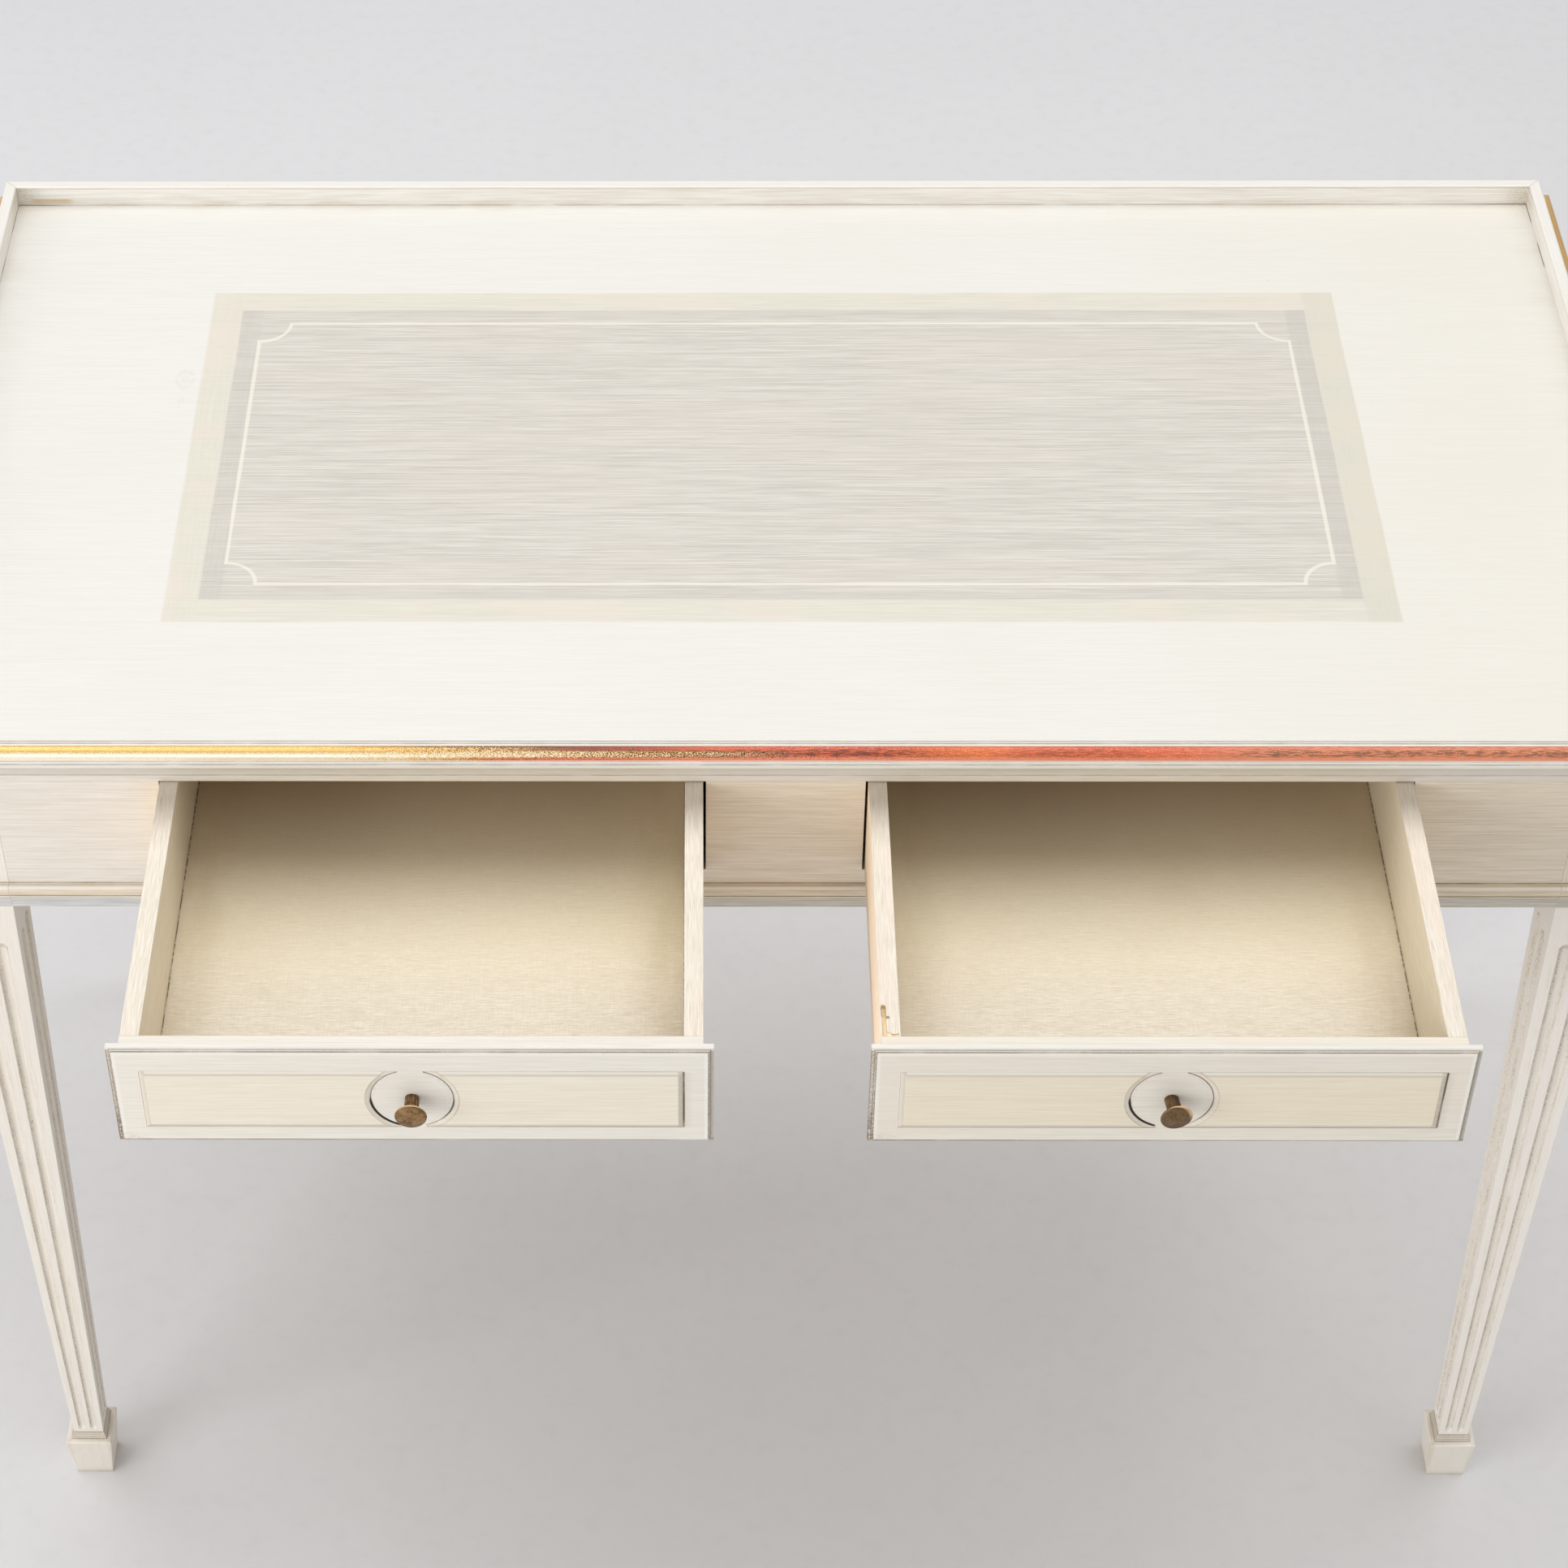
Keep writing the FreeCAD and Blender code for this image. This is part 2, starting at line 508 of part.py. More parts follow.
neck = box(-DISC_X - NECK, -DISC_X + NECK, FACE_Y - 3.0, FACE_Y + 3.0, FIELD_Z0 - 1.0, FIELD_Z1 + 1.0)
plate = Part.makeLoft([rect_xz(-FIELD_X1, -FIELD_X0, FIELD_Z0, FIELD_Z1, field_lo),
                       rect_xz(-FIELD_X1 + FIELD_BEVEL, -FIELD_X0 - FIELD_BEVEL, FIELD_Z0 + FIELD_BEVEL, FIELD_Z1 - FIELD_BEVEL, field_hi)], True, True)
cone = Part.makeCone(DISC_R, DISC_R + grow * 2.0, 2.0, V(-DISC_X, field_lo, DISC_Z), V(0, -1, 0))
plate = cut(plate, cone, neck)
pocket = cut(box(-FIELD_X1, -FIELD_X0, FACE_Y - 1.0, field_lo, FIELD_Z0, FIELD_Z1), disc_cylinder(DISC_R, field_lo + 1.0), neck)
crease = disc_cylinder(DISC_R + DISC_CREASE_W, FACE_Y + DISC_CREASE).cut(disc_cylinder(DISC_R, FACE_Y + DISC_CREASE + 1.0))
crease = crease.common(box(-FIELD_X1, -FIELD_X0, FACE_Y - 2.0, FACE_Y + DISC_CREASE, FIELD_Z0, FIELD_Z1)).cut(neck)
front = fuse(front.cut(pocket), *plate.Solids)
front = front.cut(crease)

sides = [box(-BOX_X1, -BOX_X1 + SIDE_T, FRONT_IN_Y, BOX_END_Y, BOX_Z0, BOX_Z1),
         box(-BOX_X0 - SIDE_T, -BOX_X0, FRONT_IN_Y, BOX_END_Y, BOX_Z0, BOX_Z1)]
tails_l = tails(-BOX_X1, -BOX_X1 + SIDE_T)
tails_r = tails(-BOX_X0 - SIDE_T, -BOX_X0)
side_l = fuse(sides[0], *tails_l)
side_r = fuse(sides[1], *tails_r)
front = cut(front, *(tails_l + tails_r))

bottom = box(-BOX_X1 + SIDE_T - GROOVE, -BOX_X0 - SIDE_T + GROOVE, FRONT_IN_Y - GROOVE, BOX_END_Y - 1.0, BOTTOM_Z1 - BOTTOM_T, BOTTOM_Z1)
bottom_slot = box(-BOX_X1 + SIDE_T - GROOVE, -BOX_X0 - SIDE_T + GROOVE, FRONT_IN_Y - GROOVE, BOX_END_Y + 1.0, BOTTOM_Z1 - BOTTOM_T, BOTTOM_Z1)
front = front.cut(bottom)
dado = 4.0
back_board = box(-BOX_X1 + SIDE_T - dado, -BOX_X0 - SIDE_T + dado, BACK_IN_Y, BACK_IN_Y + BACK_T, BOTTOM_Z1, BACK_Z1)
side_l = cut(side_l, bottom_slot, back_board)
side_r = cut(side_r, bottom_slot, back_board)

# knob: flat-domed head on a short shank, threaded stem in the front
SINK = 1.5
kp = [V(0, SINK, 0), V(KNOB_SHANK_R, SINK, 0), V(KNOB_SHANK_R, -KNOB_OUT + 6.2, 0)]
edges = [Part.LineSegment(a, b).toShape() for a, b in zip(kp, kp[1:])]
under = V(KNOB_R - 0.5, -KNOB_OUT + 3.0, 0)
edges.append(Part.Arc(kp[-1], V(5.4, -KNOB_OUT + 4.0, 0), under).toShape())
rim = V(KNOB_R - 0.7, -KNOB_OUT + 1.3, 0)
edges.append(Part.Arc(under, V(KNOB_R, -KNOB_OUT + 2.1, 0), rim).toShape())
tip = V(0.5, -KNOB_OUT, 0)
edges.append(Part.Arc(rim, V(4.6, -KNOB_OUT + 0.36, 0), tip).toShape())
edges.append(Part.LineSegment(tip, V(0, -KNOB_OUT, 0)).toShape())
edges.append(Part.LineSegment(V(0, -KNOB_OUT, 0), V(0, SINK, 0)).toShape())
head = Part.Face(Part.Wire(edges)).revolve(V(0, 0, 0), V(0, 1, 0), 360)
stem = Part.makeCylinder(2.2, 12.0, V(0, -1.0, 0), V(0, 1, 0))


def knob_and_hole(cx, askew):
    """knob on a disc at cx, turned by askew degrees about the upright axis, and the hole for its stem."""
    h, st = head.copy(), stem.copy()
    for shape in (h, st):
        shape.rotate(V(0, 0, 0), V(0, 0, 1), askew)
    h = h.cut(box(-30.0, 30.0, 0.0, 30.0, -30.0, 30.0))
    k = h.fuse(st).removeSplitter()
    for shape in (k, st):
        shape.translate(V(cx, FACE_Y, DISC_Z))
    return k, st


plain_front = front
knob, hole = knob_and_hole(-DISC_X, 0.0)
front = plain_front.cut(hole)
knob_r, hole_r = knob_and_hole(DISC_X, KNOB_ASKEW)
front_r = mirror_x(plain_front).cut(hole_r)

add("left_drawer_front", front)
add("left_drawer_side_left", side_l)
add("left_drawer_side_right", side_r)
add("left_drawer_back", back_board)
add("left_drawer_bottom", bottom)
add("left_drawer_knob", knob)

# the right drawer's left side has an old splinter gone from its top edge, next to the front
nx, ny, nz = BOX_X0, FRONT_IN_Y, BOX_Z1
notch = fuse(box(nx + 0.5, nx + 3.4, ny + 15.0, ny + 22.3, nz - 2.4, nz + 1.0),
             Part.makeCylinder(1.45, 3.4, V(nx + 1.95, ny + 22.3, nz - 2.4), V(0, 0, 1)),
             box(nx + 0.8, nx + 3.3, ny, ny + 15.5, nz - 0.9, nz + 1.0),
             box(nx + 3.0, nx + 5.0, ny + 13.4, ny + 15.2, nz - 1.5, nz + 1.0),
             prism([V(nx + 3.0, ny, nz + 1.0), V(nx + 3.0, ny + 4.2, nz + 1.0), V(nx + 5.6, ny + 2.2, nz + 1.0),
                    V(nx + 8.4, ny + 1.6, nz + 1.0), V(nx + 9.8, ny + 2.6, nz + 1.0), V(nx + 9.8, ny, nz + 1.0)], V(0, 0, -1.7)))
add("right_drawer_front", front_r)
add("right_drawer_side_left", mirror_x(side_r).cut(notch))
add("right_drawer_side_right", mirror_x(side_l))
add("right_drawer_back", mirror_x(back_board))
add("right_drawer_bottom", mirror_x(bottom))
add("right_drawer_knob", knob_r)

# ---------------------------------------------------------------------------
# write the pieces
# ---------------------------------------------------------------------------
os.makedirs("parts", exist_ok=True)
for name in sorted(NODES):
    shape = NODES[name].copy()
    shape.translate(V(0, -ORIGIN_Y, 0))
    bb = shape.BoundBox
    print("%-26s solids %d valid %s vol %.0f  x %.1f %.1f  y %.1f %.1f  z %.1f %.1f" % (
        name, len(shape.Solids), shape.isValid(), shape.Volume, bb.XMin, bb.XMax, bb.YMin, bb.YMax, bb.ZMin, bb.ZMax))
    if len(shape.Solids) == 1:
        shape = shape.Solids[0]
    shape.exportStep("parts/%s.step" % name)
print("nodes", len(NODES), "origin y", ORIGIN_Y)
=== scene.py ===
import json
import math

import bpy
from mathutils import Matrix, Vector

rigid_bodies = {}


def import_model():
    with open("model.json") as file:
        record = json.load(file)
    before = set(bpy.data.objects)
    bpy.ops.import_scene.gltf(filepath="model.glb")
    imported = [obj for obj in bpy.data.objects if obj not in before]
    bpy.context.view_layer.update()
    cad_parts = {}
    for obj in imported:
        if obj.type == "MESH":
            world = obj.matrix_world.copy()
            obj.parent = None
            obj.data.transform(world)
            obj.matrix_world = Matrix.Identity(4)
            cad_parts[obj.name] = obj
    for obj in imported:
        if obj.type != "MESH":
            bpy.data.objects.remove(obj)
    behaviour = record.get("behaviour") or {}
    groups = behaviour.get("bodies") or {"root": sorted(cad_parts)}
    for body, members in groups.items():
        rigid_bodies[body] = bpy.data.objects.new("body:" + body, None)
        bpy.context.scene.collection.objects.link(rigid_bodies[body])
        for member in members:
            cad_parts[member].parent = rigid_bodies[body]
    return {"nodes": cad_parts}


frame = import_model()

# ---------------------------------------------------------------------------
# a clean start: only the CAD frame is in the scene
# ---------------------------------------------------------------------------
for o in list(bpy.data.objects):
    if o.name in ("Cube", "Light", "Camera"):
        bpy.data.objects.remove(o)
bpy.context.view_layer.update()
NODES = frame["nodes"]
scene = bpy.context.scene
scene.view_settings.view_transform = "Standard"
scene.view_settings.look = "None"

MM = 0.001

# main lines of the desk in the shared frame, in metres
ORIGIN = 174.8                     # millimetres from the front edge of the board back to the origin
FRONT_EDGE = -ORIGIN * MM          # front edge of the top board
BOARD_HALF = 533.8 * MM
BOARD_D = 555.5 * MM
BOARD_YC = FRONT_EDGE + BOARD_D / 2
TOP_Z = 760.0 * MM
GAL_IN_X = (531.1 - 7.9) * MM      # inner face of the end rails
GAL_MID = -2.0 * MM                # the gallery sits a little to the left
GAL_IN_Y = FRONT_EDGE + (552.9 - 7.9) * MM
FACE_Y = (-200.5 - ORIGIN) * MM    # front face of the drawers
DISC_X = 211.8 * MM
DISC_Z = 673.7 * MM
PANEL_SHIFT = 2.4 * MM


def C(r, g, b):
    """sRGB 0..255 to the linear colour of a shader socket."""
    out = []
    for v in (r, g, b):
        v = v / 255.0
        out.append(v / 12.92 if v <= 0.04045 else ((v + 0.055) / 1.055) ** 2.4)
    return (out[0], out[1], out[2], 1.0)


# ---------------------------------------------------------------------------
# small helper for node graphs
# ---------------------------------------------------------------------------
class Graph:
    def __init__(self, name):
        self.mat = bpy.data.materials.new(name)
        self.mat.use_nodes = True
        self.t = self.mat.node_tree
        self.t.nodes.clear()
        self.out = self.n("ShaderNodeOutputMaterial")
        self.bsdf = self.n("ShaderNodeBsdfPrincipled")
        self.t.links.new(self.bsdf.outputs[0], self.out.inputs["Surface"])
        self.pos = self.n("ShaderNodeTexCoord").outputs["Object"]
        s = self.n("ShaderNodeSeparateXYZ")
        self.link(self.pos, s.inputs[0])
        self.x, self.y, self.z = s.outputs[0], s.outputs[1], s.outputs[2]
        self._normal = None

    def n(self, kind, **props):
        node = self.t.nodes.new(kind)
        for k, v in props.items():
            setattr(node, k, v)
        return node

    def link(self, a, b):
        self.t.links.new(a, b)

    def put(self, socket, value):
        if hasattr(value, "links"):
            self.link(value, socket)
        else:
            socket.default_value = value

    def m(self, op, a, b=None, c=None, clamp=False):
        node = self.n("ShaderNodeMath", operation=op, use_clamp=clamp)
        for i, v in enumerate((a, b, c)):
            if v is not None:
                self.put(node.inputs[i], v)
        return node.outputs[0]

    def add(self, a, b): return self.m("ADD", a, b)
    def sub(self, a, b): return self.m("SUBTRACT", a, b)
    def mul(self, a, b): return self.m("MULTIPLY", a, b)
    def absolute(self, a): return self.m("ABSOLUTE", a)
    def maxi(self, a, b): return self.m("MAXIMUM", a, b)
    def mini(self, a, b): return self.m("MINIMUM", a, b)
    def inv(self, a): return self.m("SUBTRACT", 1.0, a, clamp=True)

    def ramp(self, v, lo, hi, to0=0.0, to1=1.0, smooth=True):
        """value goes from to0 at lo to to1 at hi, clamped."""
        node = self.n("ShaderNodeMapRange", interpolation_type="SMOOTHSTEP" if smooth else "LINEAR", clamp=True)
        self.put(node.inputs["Value"], v)
        self.put(node.inputs["From Min"], lo)
        self.put(node.inputs["From Max"], hi)
        self.put(node.inputs["To Min"], to0)
        self.put(node.inputs["To Max"], to1)
        return node.outputs["Result"]

    def band(self, v, centre, half, soft):
        """1 within half of centre, falling to 0 over soft."""
        d = self.absolute(self.sub(v, centre))
        return self.ramp(d, half + soft, half)

    def between(self, v, lo, hi, soft):
        return self.mul(self.ramp(v, lo - soft, lo + soft), self.ramp(v, hi + soft, hi - soft))

    def mix(self, fac, a, b, mode="MIX"):
        node = self.n("ShaderNodeMix", data_type="RGBA", blend_type=mode)
        self.put(node.inputs[0], fac)
        self.put(node.inputs[6], a)
        self.put(node.inputs[7], b)
        return node.outputs[2]

    def lerp(self, fac, a, b):
        node = self.n("ShaderNodeMix", data_type="FLOAT")
        self.put(node.inputs[0], fac)
        self.put(node.inputs[2], a)
        self.put(node.inputs[3], b)
        return node.outputs[0]

    def noise(self, scale, offset=(0, 0, 0), detail=2.0, rough=0.5, distortion=0.0, vec=None):
        """noise with its own scale along each axis, in cells per metre."""
        mp = self.n("ShaderNodeMapping")
        self.link(vec or self.pos, mp.inputs["Vector"])
        mp.inputs["Scale"].default_value = scale if not isinstance(scale, (int, float)) else (scale,) * 3
        mp.inputs["Location"].default_value = offset
        nz = self.n("ShaderNodeTexNoise")
        self.link(mp.outputs[0], nz.inputs["Vector"])
        nz.inputs["Scale"].default_value = 1.0
        nz.inputs["Detail"].default_value = detail
        nz.inputs["Roughness"].default_value = rough
        nz.inputs["Distortion"].default_value = distortion
        return nz.outputs["Fac"]

    def streaks(self, axis, seed=0.0, along=(18.0, 48.0, 5.0), across=(1350.0, 1100.0, 110.0), weights=(0.48, 0.40, 0.12), lo=0.38, hi=0.62):
        """brush streaks that run along one axis; about 0..1 with a middle of 0.5."""
        total = None
        for k, (al, ac, w) in enumerate(zip(along, across, weights)):
            sc = {"x": (al, ac, ac), "y": (ac, al, ac), "z": (ac, ac, al)}[axis]
            part = self.mul(self.noise(sc, (seed + 3.1 * k, seed * 1.7 + k, seed * 0.6), (1.0, 2.0, 2.0)[k], 0.55), w)
            total = part if total is None else self.add(total, part)
        return self.ramp(total, lo, hi, smooth=False)

    def length(self, a, b):
        return self.m("SQRT", self.add(self.mul(a, a), self.mul(b, b)))

    def smaller(self, *v):
        out = v[0]
        for w in v[1:]:
            out = self.mini(out, w)
        return out

    def times(self, *v):
        out = v[0]
        for w in v[1:]:
            out = self.mul(out, w)
        return out

    def normal(self):
        g = self.n("ShaderNodeNewGeometry")
        s = self.n("ShaderNodeSeparateXYZ")
        self.link(g.outputs["Normal"], s.inputs[0])
        return s.outputs[0], s.outputs[1], s.outputs[2]

    def true_normal(self):
        g = self.n("ShaderNodeNewGeometry")
        s = self.n("ShaderNodeSeparateXYZ")
        self.link(g.outputs["True Normal"], s.inputs[0])
        return s.outputs[0], s.outputs[1], s.outputs[2]

    def cavity(self, distance, samples=6, local=False):
        a = self.n("ShaderNodeAmbientOcclusion", samples=samples, inside=False, only_local=local)
        a.inputs["Distance"].default_value = distance
        return self.inv(a.outputs["AO"])

    def arris(self, distance, samples=6):
        a = self.n("ShaderNodeAmbientOcclusion", samples=samples, inside=True, only_local=True)
        a.inputs["Distance"].default_value = distance
        return self.inv(a.outputs["AO"])

    def specks(self, per_metre, size, share, seed=0.0):
        """1 on a few small round specks."""
        mp = self.n("ShaderNodeMapping")
        self.link(self.pos, mp.inputs["Vector"])
        mp.inputs["Location"].default_value = (seed, seed * 0.7, seed * 1.3)
        v = self.n("ShaderNodeTexVoronoi", feature="F1")
        self.link(mp.outputs[0], v.inputs["Vector"])
        v.inputs["Scale"].default_value = per_metre
        s = self.n("ShaderNodeSeparateColor")
        self.link(v.outputs["Color"], s.inputs[0])
        keep = self.m("GREATER_THAN", s.outputs[0], 1.0 - share)
        r = self.mul(s.outputs[1], size * per_metre)
        return self.mul(keep, self.m("LESS_THAN", v.outputs["Distance"], r))

    def finish(self, colour, rough, metallic=0.0, height=None, bump=0.2, bump_distance=0.0003, edge=0.0, specular=0.5):
        self.put(self.bsdf.inputs["Base Color"], colour)
        self.put(self.bsdf.inputs["Roughness"], rough)
        self.put(self.bsdf.inputs["Metallic"], metallic)
        self.bsdf.inputs["Specular IOR Level"].default_value = specular
        normal = None
        if edge > 0:
            b = self.n("ShaderNodeBevel", samples=4)
            b.inputs["Radius"].default_value = edge
            normal = b.outputs[0]
        if height is not None:
            bp = self.n("ShaderNodeBump")
            bp.inputs["Strength"].default_value = bump
            bp.inputs["Distance"].default_value = bump_distance
            self.link(height, bp.inputs["Height"])
            if normal is not None:
                self.link(normal, bp.inputs["Normal"])
            normal = bp.outputs[0]
        if normal is not None:
            self.link(normal, self.bsdf.inputs["Normal"])
        return self.mat


# colours, as paint reflectances
WHITE = C(232, 228, 219)
# pale white of rubbed edges, also used as a painted highlight along the arrises
WORN_WHITE_AND_HIGHLIGHT = C(240, 237, 230)
GLAZE = C(208, 199, 184)
WARM = C(228, 216, 199)
# brown of dirt and specks, also used for the painted shade in hollows
DIRT_AND_SHADE = C(122, 98, 68)
DIRT_DARK = C(62, 48, 34)


# ---------------------------------------------------------------------------
# brushed antique-white paint
# ---------------------------------------------------------------------------
def paint_core(g, axis, seed, base=WHITE, glaze=GLAZE, streak=0.35, warm=0.25, warm_tone=WARM):
    s = g.streaks(axis, seed)
    colour = g.mix(g.mul(s, streak), base, glaze)
    cloud = g.ramp(g.noise(7.0, (seed, seed, seed), 3.0), 0.4, 0.7)
    colour = g.mix(g.mul(cloud, warm), colour, warm_tone)
    return colour, s


# dirt and glaze in hollows, together with a painted shade: darkens wherever ambient occlusion finds surfaces close by
def hollow_dirt_and_shade(g, colour, seed, depth=0.008, amount=0.75, tone=DIRT_AND_SHADE):
    cav = g.cavity(depth)
    patch = g.ramp(g.noise(60.0, (seed, 1.0, seed), 4.0, 0.6), 0.3, 0.7, 0.45, 1.0)
    return g.mix(g.mul(g.mul(g.ramp(cav, 0.18, 0.95), patch), amount), colour, tone)


def broken(g, seed, scale=40.0, lo=0.35, hi=0.6, floor_value=0.25):
    """slow variation that breaks up a painted or dirty line."""
    return g.ramp(g.noise(scale, (seed, 3.0, seed), 3.0, 0.6), lo, hi, floor_value, 1.0)


def warm_shade_part(g):
    """painted warm shade: from the first drawer to the right, where the drawers shade the front, and slowly along the
    back.
    """
    front = g.ramp(g.y, 0.05, -0.05)
    return front, g.lerp(front, g.ramp(g.x, -0.52, 0.40), g.ramp(g.x, -0.400, -0.365))


def bead_lines(g, colour, s, br):
    """glaze and a painted highlight on the bead, and a painted shade on the downward chamfer at the lower edge of the
    frame.
    """
    out = g.maxi(g.sub(g.absolute(g.x), 516.8 * MM), g.sub(g.absolute(g.sub(g.y, BOARD_YC)), BOARD_D / 2 - 17.0 * MM))
    drop = g.sub(0.6249, g.z)
    f = g.add(g.mul(out, 111.7), g.mul(drop, 98.0))            # 0 at the upper quirk, 1 where the bead turns under
    on = g.mul(g.between(g.z, 0.6160, 0.6254, 0.0001), g.ramp(out, -0.0004, 0.0))
    tan = g.mix(g.mul(s, 0.8), C(225, 211, 187), C(196, 177, 149))
    colour = g.mix(g.times(on, g.band(f, 0.20, 0.07, 0.13), g.mul(br, 0.75)), colour, tan)
    # painted highlight across the middle of the bead
    colour = g.mix(g.times(on, g.band(f, 0.50, 0.06, 0.14), 0.8), colour, C(243, 238, 229))
    colour = g.mix(g.times(on, g.ramp(f, 0.62, 0.85), 0.85), colour, tan)
    colour = g.mix(g.times(g.band(g.z, 0.6250, 0.00012, 0.00030), br, g.mul(g.ramp(out, -0.0004, -0.0001), 0.75)), colour, C(120, 96, 70))
    # painted shade on the downward-facing chamfer: cool grey with the floor's tint, warmer right of the first drawer
    chamfer = g.mul(g.ramp(g.z, 0.6158, 0.6152), g.ramp(g.z, 0.6035, 0.6039))
    chamfer_shade = g.mix(s, C(214, 214, 212), C(178, 178, 176))
    chamfer_shade = g.mix(warm_shade_part(g)[1], chamfer_shade, g.mix(s, C(208, 202, 191), C(174, 166, 152)))
    return g.mix(g.mul(chamfer, 0.9), colour, chamfer_shade)


def apron_material(name, axis, seed):
    """flat rails and stiles with a bead and a chamfer at their lower edge."""
    g = Graph(name)
    colour, s = paint_core(g, axis, seed, C(231, 226, 218), C(203, 193, 179), 0.55, 0.2, C(225, 214, 199))
    br = broken(g, seed, 55.0, 0.3, 0.6, 0.5)
    front, warm = warm_shade_part(g)
    nx, ny, nz = g.true_normal()
    if axis == "x":
        warm = g.mul(warm, g.lerp(front, 1.0, g.ramp(g.z, 0.7130, 0.7100)))
        joint = g.sub(g.absolute(g.x), 475.1 * MM)
        turned = g.mul(ny, g.sub(g.y, BOARD_YC))
    else:
        joint = g.sub(g.absolute(g.sub(g.y, BOARD_YC)), 219.05 * MM)
        turned = g.mul(nx, g.x)
    # painted warm shade on the aprons, darker and warmer from the first drawer to the right
    warm_shade_tone = g.mix(g.mul(s, 0.68), C(235, 223, 202), C(207, 190, 164))
    colour = g.mix(g.mul(warm, 0.85), colour, warm_shade_tone)
    colour = bead_lines(g, colour, s, br)
    colour = g.mix(g.times(g.ramp(g.absolute(joint), 0.0006, 0.0001), br, 0.5), colour, C(148, 130, 104))
    # the faces turned inwards are bare wood
    grain = g.streaks(axis, seed + 9.0, (4.0, 2.0, 1.0), (700.0, 240.0, 60.0), (0.3, 0.4, 0.3))
    colour = g.mix(g.ramp(turned, -0.10, -0.16), colour, g.mix(grain, C(222, 196, 156), C(200, 168, 122)))
    colour = hollow_dirt_and_shade(g, colour, seed, 0.006, 0.40)
    # convex edges lightened: rubbed paint and a painted highlight along the arrises
    colour = g.mix(g.mul(g.ramp(g.arris(0.0011), 0.25, 0.6), 0.35), colour, WORN_WHITE_AND_HIGHLIGHT)
    colour = g.mix(g.mul(g.specks(55.0, 0.0011, 0.05, seed), 0.7), colour, DIRT_AND_SHADE)
    rough = g.ramp(s, 0.0, 1.0, 0.40, 0.52, smooth=False)
    return g.finish(colour, rough, height=s, bump=0.12, edge=0.0006, specular=0.4)


